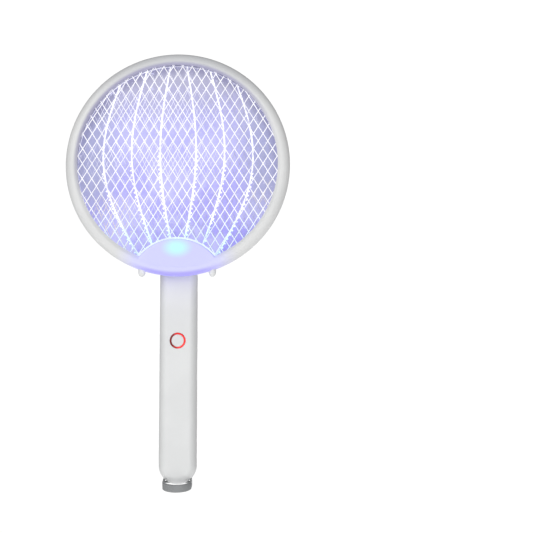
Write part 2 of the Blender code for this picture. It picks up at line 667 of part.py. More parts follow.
def pivot():
    """The hollow pivot tube turns with the head and is clipped inside the handle."""
    plate_inner = HEAD_BACK_Y - CHIN_SINK - HEAD_WALL - GAP
    flange = plate_inner - PIVOT_FLANGE_THICKNESS
    wall_inner = -HALF_THICKNESS + HANDLE_WALL
    washer_low = wall_inner + GAP
    washer_high = washer_low + SPRING_WASHER_THICKNESS
    clip_low = washer_high + GAP
    clip_high = clip_low + CLIP_THICKNESS
    tube, bore = PIVOT_TUBE_RADIUS, PIVOT_BORE_RADIUS
    groove = tube - CLIP_GROOVE
    tube_end = clip_high + TUBE_BEYOND_CLIP
    profile = [
        (bore, flange),
        (PIVOT_FLANGE_RADIUS, flange),
        (PIVOT_FLANGE_RADIUS, plate_inner),
        (tube, plate_inner),
        (tube, clip_low - GAP),
        (groove, clip_low - GAP),
        (groove, clip_high + GAP),
        (tube, clip_high + GAP),
        (tube, tube_end),
        (bore, tube_end),
    ]
    turned("pivot_tube", profile, PIVOT_CENTRE, Y_AXIS, WHITE, steps=16)
    outside = tube + GAP
    disc = (outside, PIVOT_DISC_RADIUS, HEAD_BACK_Y + GAP, -HALF_THICKNESS - GAP)
    washer("pivot_disc", *disc, PIVOT_CENTRE, Y_AXIS, WHITE, steps=20)
    sprung = (outside, SPRING_WASHER_RADIUS, washer_low, washer_high)
    washer("spring_washer", *sprung, PIVOT_CENTRE, Y_AXIS, STEEL, steps=16)
    clip = (groove + GAP, CLIP_RADIUS, clip_low, clip_high)
    washer("retaining_clip", *clip, PIVOT_CENTRE, Y_AXIS, STEEL, steps=16)
    ends = (flange - LEADS_IN_HEAD, tube_end + LEADS_IN_HANDLE)
    rod("lead_bundle", LEAD_BUNDLE_RADIUS, *ends, PIVOT_CENTRE, Y_AXIS, BLACK, steps=10)


# ---------------------------------------------------------------- head


def meeting_angle(radius, chin):
    """Where a circle about the head's centre meets one about the chin's, in degrees below the X axis."""
    height = (radius**2 - chin**2 + CHIN_Z**2) / (2 * CHIN_Z)
    return math.degrees(math.asin(height / radius)), math.degrees(math.asin((height - CHIN_Z) / chin))


def window_outline(radius, chin, steps=ROUND_STEPS):
    """The head's opening: inside a circle and above the chin's arc."""
    outer, inner = meeting_angle(radius, chin)
    points = arc((0, 0), radius, outer, 180 - outer, steps)
    return points + arc((0, CHIN_Z), chin, 180 - inner, inner, steps // 4)[1:-1]


def lens_outline(radius, chin, steps=ROUND_STEPS):
    """The chin's own shape: inside a circle and below the chin's arc."""
    outer, inner = meeting_angle(radius, chin)
    points = arc((0, 0), radius, 180 - outer, 360 + outer, steps // 4)
    return points + arc((0, CHIN_Z), chin, inner, 180 - inner, steps // 4)[1:-1]


def arch_outline(radius, chin, wall, steps=12):
    """A band along the chin's arc, from chin - wall out to chin, ending inside a circle."""
    upper, lower = meeting_angle(radius, chin)[1], meeting_angle(radius, chin - wall)[1]
    points = arc((0, CHIN_Z), chin, upper, 180 - upper, steps)
    return points + arc((0, CHIN_Z), chin - wall, 180 - lower, lower, steps)


def head_prism(name, outline, low, high, finish=None):
    return prism(name, outline, HEAD_Y + low, HEAD_Y + high, finish, place=Vector((0, 0, HEAD_Z)))


def rim_profile():
    """Half of the hollow rim: radius and distance from the parting plane."""
    outer = [math.radians(angle) for angle in (30, 60, 90)]
    hollow = [math.radians(angle) for angle in (72, 34)]
    inner_width = RIM_ROUND_WIDTH - HEAD_WALL
    inner_depth = HALF_DEPTH - HEAD_WALL
    profile = [(HEAD_RADIUS, PARTING)]
    profile += [(CREST_RADIUS + RIM_ROUND_WIDTH * math.cos(a), HALF_DEPTH * math.sin(a)) for a in outer]
    profile += [
        (CREST_RADIUS - CREST_LAND, HALF_DEPTH - CREST_FALL),
        (OPENING_RADIUS, HALF_DEPTH - LIP_DROP),
        (OPENING_RADIUS, SEAT_Y),
        (SEAT_RADIUS, SEAT_Y),
        (SEAT_RADIUS, PARTING),
        (CAVITY_RADIUS, PARTING),
        (CAVITY_RADIUS, inner_depth * math.sin(hollow[0])),
    ]
    profile += [(CREST_RADIUS + inner_width * math.cos(a), inner_depth * math.sin(a)) for a in hollow[1:]]
    return profile + [(HEAD_RADIUS - HEAD_WALL, PARTING)]


def head_screw_centres():
    radius = (CAVITY_RADIUS + HEAD_RADIUS - HEAD_WALL) / 2
    angles = [math.radians(angle) for angle in HEAD_SCREW_ANGLES]
    return [Vector((radius * math.cos(a), HEAD_Y, HEAD_Z + radius * math.sin(a))) for a in angles]


def foot_profile():
    """From the flange inside the rim down to the round tip, along -Z from the head's centre."""
    flange = FOOT_RADIUS + FOOT_FLANGE
    floor = math.sqrt((HEAD_RADIUS - HEAD_WALL) ** 2 - (FOOT_OFFSET + flange) ** 2)
    step = floor - FOOT_ROOM
    tip = HEAD_RADIUS + FOOT_BELOW_RIM
    round_part = [math.radians(angle) for angle in (0, 30, 60, 90)]
    profile = [
        (0, step - FOOT_FLANGE_THICKNESS),
        (flange, step - FOOT_FLANGE_THICKNESS),
        (flange, step),
        (FOOT_RADIUS, step),
    ]
    profile += [(FOOT_RADIUS * math.cos(a), tip - FOOT_RADIUS * (1 - math.sin(a))) for a in round_part]
    profile[-1] = (0, tip)
    return profile


def head_shell(name, side):
    """One half of the rim, and the chin's plate and arched wall to join to it; side is -1 in front."""
    rim = [(radius, side * distance) for radius, distance in rim_profile()]
    shell = turned(name, rim, HEAD_CENTRE, Y_AXIS, WHITE, steps=ROUND_STEPS)
    face = HALF_DEPTH - CHIN_SINK
    plate = sorted((side * face, side * (face - HEAD_WALL)))
    wall = sorted((side * PARTING, side * (face - HEAD_WALL / 2)))
    chin = head_prism(name + "_chin_plate", lens_outline(CREST_RADIUS + CHIN_PLATE_LAP, CHIN_RADIUS), *plate)
    arch = arch_outline(FRAME_INNER - GAP, CHIN_RADIUS - CREST_FALL, CHIN_WALL)
    return shell, [chin, head_prism(name + "_chin_arch", arch, *wall)]


def head_shells():
    front, front_adds = head_shell("ring_front_shell", -1)
    back, back_adds = head_shell("ring_back_shell", 1)
    lens = (LENS_WIDTH / 2 + GAP, LENS_DEPTH / 2 + GAP)
    opening = box(
        "lens_cutter",
        (-lens[0], HEAD_Y - lens[1], HEAD_Z + CHIN_Z + CHIN_RADIUS - 3 * CHIN_WALL),
        (lens[0], HEAD_Y + lens[1], HEAD_Z + CHIN_Z + CHIN_RADIUS + CHIN_WALL),
    )
    plate_hole = (HEAD_BACK_Y - 2 * HEAD_WALL, HEAD_BACK_Y + HEAD_WALL)
    hole = PIVOT_TUBE_RADIUS + GAP
    pivot_hole = rod("head_pivot_cutter", hole, *plate_hole, PIVOT_CENTRE, Y_AXIS, steps=24)
    shared = [opening, *feet()]
    seat = HEAD_SCREW_SEAT
    head_radius = 2 * HEAD_SCREW_RADIUS
    boss = HEAD_SCREW_RADIUS + GAP + HEAD_BOSS_WALL
    tower = HEAD_SCREW_RADIUS + GAP + HEAD_TOWER_WALL
    for number, centre in enumerate(head_screw_centres(), 1):
        front_adds.append(rod(f"head_front_boss_{number}", boss, -seat, -GAP, centre, Y_AXIS, steps=10))
        top = seat + HEAD_SCREW_HEAD_HEIGHT
        back_adds.append(rod(f"head_back_boss_{number}", tower, GAP, top, centre, Y_AXIS, steps=10))
        sizes = (HEAD_SCREW_RADIUS, head_radius, HEAD_SCREW_LENGTH, HEAD_DEPTH)
        shared.append(screw_drill(f"head_screw_cutter_{number}", centre, seat, *sizes))
        shank = (HEAD_SCREW_RADIUS, head_radius, HEAD_SCREW_HEAD_HEIGHT, HEAD_SCREW_LENGTH)
        screw(f"head_screw_{number}", centre + Y_AXIS * seat, Y_AXIS, *shank)
    join(front, *front_adds)
    join(back, *back_adds)
    cut(front, *shared)
    cut(back, pivot_hole, *shared)


def feet():
    """Makes the two feet and gives back the cutters for their holes."""
    holes = []
    for name, place in (("foot_left", -FOOT_OFFSET), ("foot_right", FOOT_OFFSET)):
        centre = Vector((place, HEAD_Y, HEAD_Z))
        profile = [(radius, -distance) for radius, distance in foot_profile()]
        turned(name, profile, centre, Z_AXIS, WHITE)
        floor = -math.sqrt((HEAD_RADIUS - HEAD_WALL) ** 2 - FOOT_OFFSET**2)
        reach = (floor - HALF_DEPTH, floor + HEAD_WALL)
        holes.append(rod(name + "_cutter", FOOT_RADIUS + GAP, *reach, centre, Z_AXIS))
    return holes


def net_frame(name, low, high, finish):
    """A thin ring with an arch over the chin, which holds one net."""
    frame = head_prism(name, arc((0, 0), FRAME_RADIUS, 0, 360, ROUND_STEPS)[:-1], low, high, finish)
    arch_outer = CHIN_RADIUS + GAP + ARCH_WIDTH
    reach = (low - GUARD_THICKNESS, high + GUARD_THICKNESS)
    window = head_prism(name + "_window", window_outline(FRAME_INNER, arch_outer), *reach)
    chin = head_prism(name + "_chin", lens_outline(FRAME_INNER, CHIN_RADIUS + GAP), *reach)
    cut(frame, window, chin)
    return frame


def line_spans(slope, offset):
    """The stretches of a straight line that run between the frame's ring and its arch."""
    along = Vector((math.cos(slope), math.sin(slope)))
    foot = Vector((-math.sin(slope), math.cos(slope))) * offset
    reach = FRAME_INNER + FRAME_WIDTH / 2
    end = math.sqrt(max(reach**2 - offset**2, 0))
    from_chin = foot - Vector((0, CHIN_Z))
    chin = CHIN_RADIUS + GAP + BAR_BITE
    middle = -from_chin.dot(along)
    inside = chin**2 - from_chin.length_squared + middle**2
    if inside <= 0:
        spans = [(-end, end)]
    else:
        half = math.sqrt(inside)
        spans = [(-end, min(middle - half, end)), (max(middle + half, -end), end)]
    return [(foot + along * a, foot + along * b) for a, b in spans if b - a > 3 * FRAME_WIDTH]


def bar_matrix(start, finish, depth, across, thick):
    """Places a unit cube as a bar from start to finish in the head's plane, at a depth."""
    run = finish - start
    middle = (start + finish) / 2
    turn = Matrix.Rotation(-math.atan2(run.y, run.x), 4, Y_AXIS)
    place = Matrix.Translation(HEAD_CENTRE + Vector((middle.x, depth, middle.y)))
    return place @ turn @ Matrix.Diagonal((run.length, thick, across, 1))


def bars(name, slope, pitch, depth, across, thick, phase=0.0):
    bm = bmesh.new()
    count = int(FRAME_INNER / pitch) + 1
    for k in range(-count, count + 1):
        offset = (k + phase) * pitch
        if abs(offset) > FRAME_INNER - pitch / 3:
            continue
        for start, finish in line_spans(slope, offset):
            bmesh.ops.create_cube(bm, size=1, matrix=bar_matrix(start, finish, depth, across, thick))
    return add_piece(bm, name, None)


def rib_points(top_x, middle_x, foot_x, side, steps=8):
    """A meridian from the top of the frame to the chin's arch, as an even curve through its middle."""
    top = math.sqrt((FRAME_INNER + FRAME_WIDTH / 2) ** 2 - top_x**2)
    arch = CHIN_RADIUS + GAP + BAR_BITE
    foot = CHIN_Z + math.sqrt(arch**2 - foot_x**2)
    swell = middle_x - (top_x + foot_x) / 2
    points = []
    for k in range(steps + 1):
        share = k / steps
        out = top_x + (foot_x - top_x) * share + swell * math.sin(math.pi * share)
        points.append(Vector((side * out, top + (foot - top) * share)))
    return points


def ribs(name, depth, thick):
    """Six meridian ribs, each a thin strip swept along its curve."""
    bm = bmesh.new()
    for places in zip(RIB_TOPS, RIB_MIDDLES, RIB_FEET):
        for side in (-1, 1):
            points = rib_points(*places, side)
            outline = [(p.x - RIB_WIDTH / 2, p.y) for p in points]
            outline += [(p.x + RIB_WIDTH / 2, p.y) for p in reversed(points)]
            low, high = HEAD_Y + depth - thick / 2, HEAD_Y + depth + thick / 2
            base = [bm.verts.new((x, low, HEAD_Z + z)) for x, z in outline]
            top = bmesh.ops.extrude_face_region(bm, geom=[bm.faces.new(base)])["geom"]
            raised = [item for item in top if isinstance(item, bmesh.types.BMVert)]
            bmesh.ops.translate(bm, vec=(0, high - low, 0), verts=raised)
    return add_piece(bm, name, None)


def net_stack():
    """From the front lip back: guard, spacer, grid, spacer, grid, ribs, screen and rear guard."""
    level = -SEAT_Y + GAP
    guard = net_frame("front_guard", level, level + GUARD_THICKNESS, NET_WHITE)
    wires = []
    for number, side in enumerate((1, -1)):
        depth = level + GUARD_THICKNESS * (0.25 + 0.5 * number)
        sizes = (WIRE_PITCH, depth, GUARD_WIRE, GUARD_WIRE)
        wires.append(bars(f"front_guard_wires_{number}", side * WIRE_SLOPE, *sizes))
    join(guard, *wires)
    level += GUARD_THICKNESS + GAP
    for number, (place, side) in enumerate((("front", 1), ("rear", -1)), 1):
        net_frame(f"grid_spacer_{place}", level, level + SPACER_THICKNESS, WHITE)
        level += SPACER_THICKNESS + GAP
        grid = net_frame(f"hv_grid_{place}", level, level + GRID_FRAME_THICKNESS, STEEL)
        depth = level + GRID_FRAME_THICKNESS / 2
        wires = bars(f"grid_wires_{place}", side * GRID_SLOPE, GRID_PITCH, depth, GRID_WIRE, GRID_WIRE, 0.5)
        join(grid, wires)
        level += GRID_FRAME_THICKNESS + GAP
    frame = net_frame("rib_frame", level, level + GUARD_THICKNESS, NET_WHITE)
    join(frame, ribs("rib_strips", level + GUARD_THICKNESS / 2, RIB_THICKNESS))
    level += GUARD_THICKNESS + GAP
    screen = window_outline(FRAME_RADIUS - GAP, CHIN_RADIUS + GAP)
    head_prism("fine_screen", screen, level, level + SCREEN_THICKNESS, LAVENDER)
    level += SCREEN_THICKNESS + GAP
    rear = net_frame("back_guard", level, SEAT_Y - GAP, NET_WHITE)
    join(rear, bars("rungs", 0, RUNG_PITCH, (level + SEAT_Y) / 2, RUNG_WIDTH, RUNG_WIDTH, 0.5))


def lamp():
    """The LEDs stand on a small board in the chin and shine up through a clear strip in its arched wall."""
    top = CHIN_Z + CHIN_RADIUS
    half_angle = math.degrees(math.asin(LENS_WIDTH / 2 / CHIN_RADIUS))
    outline = arc((0, CHIN_Z), CHIN_RADIUS, 90 - half_angle, 90 + half_angle, 6)
    outline += arc((0, CHIN_Z), CHIN_RADIUS - CHIN_WALL, 90 + half_angle, 90 - half_angle, 6)
    head_prism("lamp_lens", outline, -LENS_DEPTH / 2, LENS_DEPTH / 2, LAVENDER)
    board_top = HEAD_Z + top - LAMP_BOARD_DROP
    half = LAMP_BOARD_WIDTH / 2
    box(
        "lamp_board",
        (-half, HEAD_Y - LAMP_BOARD_DEPTH / 2, board_top - LAMP_BOARD_THICKNESS),
        (half, HEAD_Y + LAMP_BOARD_DEPTH / 2, board_top),
        GREEN,
    )
    for number in range(3):
        middle = (number - 1) * LED_PITCH
        low = (middle - LED_SIZE / 2, HEAD_Y - LED_SIZE / 2, board_top + GAP)
        high = (middle + LED_SIZE / 2, HEAD_Y + LED_SIZE / 2, board_top + GAP + LED_HEIGHT)
        box(f"uv_led_{number + 1}", low, high, LAVENDER)


clear_scene()
handle_shells()
handle_screws()
front_button()
slide_control()
side_button()
hanging_loop()
battery()
electronics()
pivot()
head_shells()
net_stack()
lamp()
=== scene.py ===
import math

import bmesh
import bpy
from mathutils import Matrix, Vector
from mathutils.geometry import intersect_line_sphere_2d


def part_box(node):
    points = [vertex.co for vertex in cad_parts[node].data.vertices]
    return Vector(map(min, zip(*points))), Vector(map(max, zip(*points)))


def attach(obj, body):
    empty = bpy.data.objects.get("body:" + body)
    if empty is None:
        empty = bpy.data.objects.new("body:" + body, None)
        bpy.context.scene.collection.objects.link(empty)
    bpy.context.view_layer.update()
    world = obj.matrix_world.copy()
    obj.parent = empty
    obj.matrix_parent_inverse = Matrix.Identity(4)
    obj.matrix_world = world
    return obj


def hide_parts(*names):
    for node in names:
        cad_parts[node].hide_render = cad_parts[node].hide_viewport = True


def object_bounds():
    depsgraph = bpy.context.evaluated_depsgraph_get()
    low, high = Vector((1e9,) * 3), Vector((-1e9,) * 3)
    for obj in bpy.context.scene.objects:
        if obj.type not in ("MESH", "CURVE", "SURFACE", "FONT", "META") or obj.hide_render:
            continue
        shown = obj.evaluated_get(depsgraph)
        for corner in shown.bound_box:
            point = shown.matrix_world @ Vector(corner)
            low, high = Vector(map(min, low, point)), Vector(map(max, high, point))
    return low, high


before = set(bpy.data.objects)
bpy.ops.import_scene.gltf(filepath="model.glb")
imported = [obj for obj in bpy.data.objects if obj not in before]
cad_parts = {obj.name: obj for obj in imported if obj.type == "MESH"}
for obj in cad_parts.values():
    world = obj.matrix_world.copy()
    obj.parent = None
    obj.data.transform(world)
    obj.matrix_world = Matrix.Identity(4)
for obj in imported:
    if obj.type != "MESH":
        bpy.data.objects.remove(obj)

cad_low, cad_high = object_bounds()

# ---------------------------------------------------------------- handle shells
# Two hollow halves moulded in satin white plastic, which meet along the sides of the grip.
# The front half has the button's hole, and three screws from the back hold the pair together.

handle_low, handle_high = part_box("handle_front_shell")[0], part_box("handle_back_shell")[1]
half_width, half_thickness = handle_high.x, handle_high.y
tip_z, end_z = handle_low.z, handle_high.z
parting = -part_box("handle_front_shell")[1].y
slip = 0.0003  # clearance round pieces that slide or touch
past = 0.002  # how far a cutter reaches outside the piece that it cuts
handle_wall, tip_wall = 0.0020, 0.0080
edge_in, edge_depth, end_corner = 0.0080, 0.0120, 0.0040
end_share = 0.7  # the flat end is rounded this much as far as the sides
shell_white = (0.80, 0.81, 0.81)


class Link:
    """An output socket that takes part in Python arithmetic: each sign adds its Math node."""

    def __init__(self, tree, socket=None):
        self.tree, self.socket = tree, socket

    def node(self, kind, settings=(), inputs=(), out=0):
        """Any other node. Its settings are made first; inputs, by name or number, are values or links."""
        made = self.tree.nodes.new("ShaderNode" + kind)
        for name, value in dict(settings).items():
            if name == "stops":
                (first, last), middle = (value[0], value[-1]), value[1:-1]
                ramp = made.color_ramp.elements
                for stop, (place, colour) in ((ramp[0], first), (ramp[1], last)):
                    stop.position, stop.color = place, (*colour, 1)
                for place, colour in middle:
                    ramp.new(place).color = (*colour, 1)
            else:
                setattr(made, name, value)
        for name, value in dict(inputs).items():
            if isinstance(value, Link):
                self.tree.links.new(made.inputs[name], value.socket)
            else:
                made.inputs[name].default_value = value
        return Link(self.tree, made.outputs[out])

    def maths(self, operation, first, second=0.0):
        return self.node("Math", {"operation": operation}, {0: first, 1: second})

    def noise(self, scale, detail, rough=0.5):
        """A cloudy pattern over this place, from 0 to 1."""
        pattern = {"Vector": self, "Scale": scale, "Detail": detail, "Roughness": rough}
        return self.node("TexNoise", inputs=pattern)

    def relief(self, shader, strength, depth):
        """Makes this pattern the fine relief of a surface."""
        bump = {"Height": self, "Strength": strength, "Distance": depth}
        self.node("Bump", inputs=bump).into(shader, "Normal")

    def __add__(self, other):
        return self.maths("ADD", self, other)

    def __sub__(self, other):
        return self.maths("SUBTRACT", self, other)

    def __rsub__(self, other):
        return self.maths("SUBTRACT", other, self)

    def __mul__(self, other):
        return self.maths("MULTIPLY", self, other)

    def __truediv__(self, other):
        return self.maths("DIVIDE", self, other)

    def __pow__(self, other):
        return self.maths("POWER", self, other)

    def __abs__(self):
        return self.maths("ABSOLUTE", self)

    __radd__, __rmul__ = __add__, __mul__

    def fade(self, start, end):
        """0 at start and 1 at end, with a soft step between."""
        ends = {"Value": self, "From Min": start, "From Max": end}
        return self.node("MapRange", {"interpolation_type": "SMOOTHSTEP"}, ends)

    def blend(self, first, second):
        """A colour that goes from the first to the second as this link goes from 0 to 1."""
        pair = [c if isinstance(c, Link) else (*c, 1) for c in (first, second)]
        return self.node("Mix", {"data_type": "RGBA"}, {0: self, 6: pair[0], 7: pair[1]}, out=2)

    def parts(self):
        """The three numbers of a place, as links."""
        split = self.node("SeparateXYZ", inputs={0: self})
        return [Link(self.tree, socket) for socket in split.socket.node.outputs]

    def into(self, shader, name):
        self.tree.links.new(shader.inputs[name], self.socket)


def new_finish(name):
    """A new material: itself, its shader, and the place on the piece as a link."""
    material = bpy.data.materials.new(name)
    material.use_nodes = True
    shader = material.node_tree.nodes["Principled BSDF"]
    place = Link(material.node_tree).node("TexCoord", out=3)
    return material, shader, place


def darker(colour, share):
    """A colour with only a share of its light."""
    return tuple(part * share for part in colour)


def moulded_surface(shader, place, colour, roughness, grain=1400, depth=0.00003):
    """A fine eroded grain, and patches handled a little smoother. Hands back the faintly clouded colour."""
    clouds = place.noise(30, 4)
    (roughness - 0.05 + 0.10 * clouds).into(shader, "Roughness")
    place.noise(grain, 2).relief(shader, 0.35, depth)
    return clouds.fade(0.35, 0.65).blend(darker(colour, 0.965), colour)


def moulded(name, colour, roughness, **texture):
    """Plain moulded plastic. The texture is the grain and depth of its surface."""
    material, shader, place = new_finish(name)
    moulded_surface(shader, place, colour, roughness, **texture).into(shader, "Base Color")
    return material


def close_piece(bm, name):
    """Turns a bmesh into an object whose faces point outwards."""
    bmesh.ops.remove_doubles(bm, verts=bm.verts, dist=1e-6)
    bmesh.ops.recalc_face_normals(bm, faces=bm.faces)
    mesh = bpy.data.meshes.new(name)
    bm.to_mesh(mesh)
    bm.free()
    piece = bpy.data.objects.new(name, mesh)
    bpy.context.scene.collection.objects.link(piece)
    return piece


def join(bm, addition):
    """Adds the faces of one bmesh to another, and frees the first."""
    mesh = bpy.data.meshes.new("addition")
    addition.to_mesh(mesh)
    addition.free()
    bm.from_mesh(mesh)
    bpy.data.meshes.remove(mesh)


def carve(piece, *cutters):
    """Cuts the cutters out of a piece and throws them away."""
    for cutter in cutters:
        modifier = piece.modifiers.new(cutter.name, "BOOLEAN")
        modifier.operation, modifier.solver, modifier.object = "DIFFERENCE", "EXACT", cutter
    solved = piece.evaluated_get(bpy.context.evaluated_depsgraph_get())
    carved = bpy.data.meshes.new_from_object(solved)
    piece.modifiers.clear()
    piece.data = carved
    for cutter in cutters:
        bpy.data.objects.remove(cutter)


def settle(piece, body, slot, material, *stands_for, sharp=38):
    """Smooths a piece's shading, gives it its finish and fixes it to its body."""
    piece.data.materials.clear()
    piece.data.materials.append(material)
    piece.data.shade_smooth()
    piece.data.set_sharp_from_angle(angle=math.radians(sharp))
    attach(piece, body)
    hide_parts(*stands_for)


def arc(centre, radius, start, end, steps):
    """Points along an arc in degrees, both ends included."""
    turns = [math.radians(start + (end - start) * k / steps) for k in range(steps + 1)]
    return [(centre[0] + radius * math.cos(t), centre[1] + radius * math.sin(t)) for t in turns]


def extrude_outline(bm, outline, push, flat):
    """Extrudes an outline along push; flat gives a corner's place from its two numbers."""
    face = bm.faces.new([bm.verts.new(flat(a, b)) for a, b in outline])
    grown = bmesh.ops.extrude_face_region(bm, geom=[face])["geom"]
    raised = [item for item in grown if isinstance(item, bmesh.types.BMVert)]
    bmesh.ops.translate(bm, vec=push, verts=raised)


def block(bm, size, middle):
    """Adds a box, and hands back its corners."""
    corners = bmesh.ops.create_cube(bm, size=1)["verts"]
    bmesh.ops.scale(bm, vec=size, verts=corners)
    bmesh.ops.translate(bm, vec=middle, verts=corners)
    return corners


def lathe(bm, profile, centre, axis, steps=64):
    """Spins (radius, distance along the axis) points into a closed round shape."""
    side = Vector((0, 1, 0)) if abs(axis.x) > 0.5 else Vector((1, 0, 0))
    verts = [bm.verts.new(centre + side * radius + axis * along) for radius, along in profile]
    edges = [bm.edges.new(pair) for pair in zip(verts, verts[1:])]
    if profile[0][0] > 0:
        edges.append(bm.edges.new((verts[-1], verts[0])))
    turn = {"cent": centre, "axis": axis, "angle": math.tau, "steps": steps, "use_merge": True}
    bmesh.ops.spin(bm, geom=verts + edges, **turn)
    bmesh.ops.remove_doubles(bm, verts=bm.verts, dist=1e-7)


def soften(bm, width, segments=2, above=math.radians(45)):
    """Rounds every edge that turns more sharply than the angle given."""
    bmesh.ops.recalc_face_normals(bm, faces=bm.faces)
    sharp = [edge for edge in bm.edges if edge.is_manifold and edge.calc_face_angle() > above]
    rounding = {"offset": width, "segments": segments, "profile": 0.5, "affect": "EDGES"}
    bmesh.ops.bevel(bm, geom=sharp, offset_type="OFFSET", material=-1, clamp_overlap=True, **rounding)


def plug(radius, low, high, centre, axis):
    """A round cutter."""
    bm = bmesh.new()
    lathe(bm, [(0, low), (radius, low), (radius, high), (0, high)], centre, axis, steps=48)
    return close_piece(bm, "cutter")


def handle_outline(wall, rounding, raise_tip):
    """The handle from the front: a half circle at the tip, and a flat end with small corners."""
    radius = half_width - wall - rounding
    top = end_z - wall - end_share * rounding
    outline = arc((0, tip_z + half_width + raise_tip), radius, 180, 360, 56)
    outline += arc((radius - end_corner, top - end_corner), end_corner, 0, 90, 8)
    return outline + arc((end_corner - radius, top - end_corner), end_corner, 90, 180, 8)


def half_handle(side, wall, start, raise_tip=0.0, steps=14):
    """Lofts half of the handle's thickness, from the parting plane out to its flat face."""
    depth, reach = edge_depth - wall, edge_in - wall / 2
    levels = [(start, 0.0)]
    for k in range(steps + 1):
        turn = math.pi / 2 * k / steps
        out = half_thickness - wall - depth + depth * math.sin(turn)
        levels.append((out, reach * (1 - math.cos(turn))))
    bm, loops = bmesh.new(), []
    for level, rounding in levels:
        outline = handle_outline(wall, rounding, raise_tip)
        verts = [bm.verts.new((x, side * level, z)) for x, z in outline]
        loops.append([bm.edges.new((verts[k - 1], verts[k])) for k in range(len(verts))])
    for lower, upper in zip(loops, loops[1:]):
        bmesh.ops.bridge_loops(bm, edges=lower + upper)
    bmesh.ops.holes_fill(bm, edges=loops[0] + loops[-1], sides=0)
    return bm


x_axis, y_axis, z_axis = Vector((1, 0, 0)), Vector((0, 1, 0)), Vector((0, 0, 1))
button_low, button_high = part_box("front_button")
button_centre = Vector((0, 0, (button_low.z + button_high.z) / 2))
light_ring_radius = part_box("light_ring")[1].x
tube_low, tube_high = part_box("pivot_tube")
pivot_centre = Vector((0, 0, (tube_low.z + tube_high.z) / 2))
pivot_radius = 0.0040
loop_half_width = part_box("hanging_loop")[1].x
loop_thickness, loop_band, arm_end = 0.0017, 0.0070, 0.0012
pin_radius, pin_from_tip = 0.0010, 0.0022
pin_centre = Vector((0, 0, tip_z + pin_from_tip))
slot_low, slot_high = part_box("slide_bezel")
key_low, key_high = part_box("side_button")
key_flange = 0.0007
socket_low, socket_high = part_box("charge_socket")


def capsule(low, high, inset=0.0, steps=20):
    """A slot outline in the handle's side, from the box it fills, long along Z."""
    radius = (high.y - low.y) / 2 - inset
    upper, lower = high.z - inset - radius, low.z + inset + radius
    middle = (high.y + low.y) / 2
    return arc((middle, upper), radius, 0, 180, steps) + arc((middle, lower), radius, 180, 360, steps)


def side_cutter(outline, start):
    """A cutter for the handle's +X side, from a depth inside it."""
    bm = bmesh.new()
    extrude_outline(bm, outline, x_axis * (half_width + past - start), lambda y, z: (start, y, z))
    return close_piece(bm, "cutter")


def shared_cutters():
    """What both halves give room to: the side controls and the loop's pin and arms."""
    inside = half_width - 2 * handle_wall
    arm = math.hypot(loop_band / 2, arm_end) + 2 * slip
    reach = loop_half_width - loop_thickness - slip
    return [
        side_cutter(capsule(slot_low, slot_high, -slip), inside),
        side_cutter(capsule(key_low, key_high, key_flange - slip), inside),
        plug(pin_radius + slip, -half_width, half_width, pin_centre, x_axis),
        plug(arm, reach, half_width * 2, pin_centre, x_axis),
        plug(arm, -half_width * 2, -reach, pin_centre, x_axis),
    ]


screw_heads = [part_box(f"handle_screw_{number}") for number in (1, 2, 3)]
shell_plastic = moulded("shell_plastic", shell_white, 0.42)
for side, cad_node in ((-1, "handle_front_shell"), (1, "handle_back_shell")):
    half = close_piece(half_handle(side, 0, parting), cad_node.replace("shell", "moulding"))
    hollow = close_piece(half_handle(side, handle_wall, -past, tip_wall - handle_wall, 6), "cutter")
    if side < 0:
        through = (-2 * half_thickness, 2 * handle_wall - half_thickness)
        own = [
            plug(light_ring_radius + slip, *through, button_centre, y_axis),
            plug(pivot_radius + slip, *through, pivot_centre, y_axis),
        ]
    else:
        own = [
            plug(
                (high.x - low.x) / 2 + slip,
                half_thickness - 2 * handle_wall,
                2 * half_thickness,
                Vector((0, 0, (low.z + high.z) / 2)),
                y_axis,
            )
            for low, high in screw_heads
        ]
        bm = bmesh.new()
        mouth_low = socket_low - Vector((3 * past, slip, slip))
        mouth_high = socket_high + Vector((slip, slip, slip))
        block(bm, mouth_high - mouth_low, (mouth_low + mouth_high) / 2)
        own.append(close_piece(bm, "cutter"))
    carve(half, hollow, *own, *shared_cutters())
    settle(half, "handle", "shell_white", shell_plastic, cad_node, sharp=22)

# ---------------------------------------------------------------- screws and charging socket
# Small zinc plated screws with a cross recess, sunk in the back halves of the handle and the head.
# The charging socket is a nickel plated can on the board, open towards the -X side.


def brushed_metal(name, colour, roughness, along):
    """Bright metal with fine drawn lines, stretched along one axis."""
    material, shader, place = new_finish(name)
    stretch = [900.0] * 3
    stretch[along] = 60.0
    lines = place.node("Mapping", inputs={"Vector": place, "Scale": stretch}).noise(1.0, 3)
    lines.fade(0.3, 0.7).blend(darker(colour, 0.8), colour).into(shader, "Base Color")
    (roughness - 0.08 + 0.16 * lines).into(shader, "Roughness")
    lines.relief(shader, 0.25, 0.00002)
    shader.inputs["Metallic"].default_value = 1.0
    return material


def paint_nodes(material, *names):
    """Gives CAD nodes that keep their own shape a finish."""
    for name in names:
        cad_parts[name].material_slots[0].material = material


zinc = brushed_metal("zinc_plate", (0.58, 0.59, 0.60), 0.32, 1)
nickel = brushed_metal("nickel_plate", (0.66, 0.65, 0.62), 0.26, 2)
paint_nodes(nickel, "charge_socket", "battery_contact", "battery_spring", "slide_switch")
paint_nodes(zinc, "spring_washer", "retaining_clip")


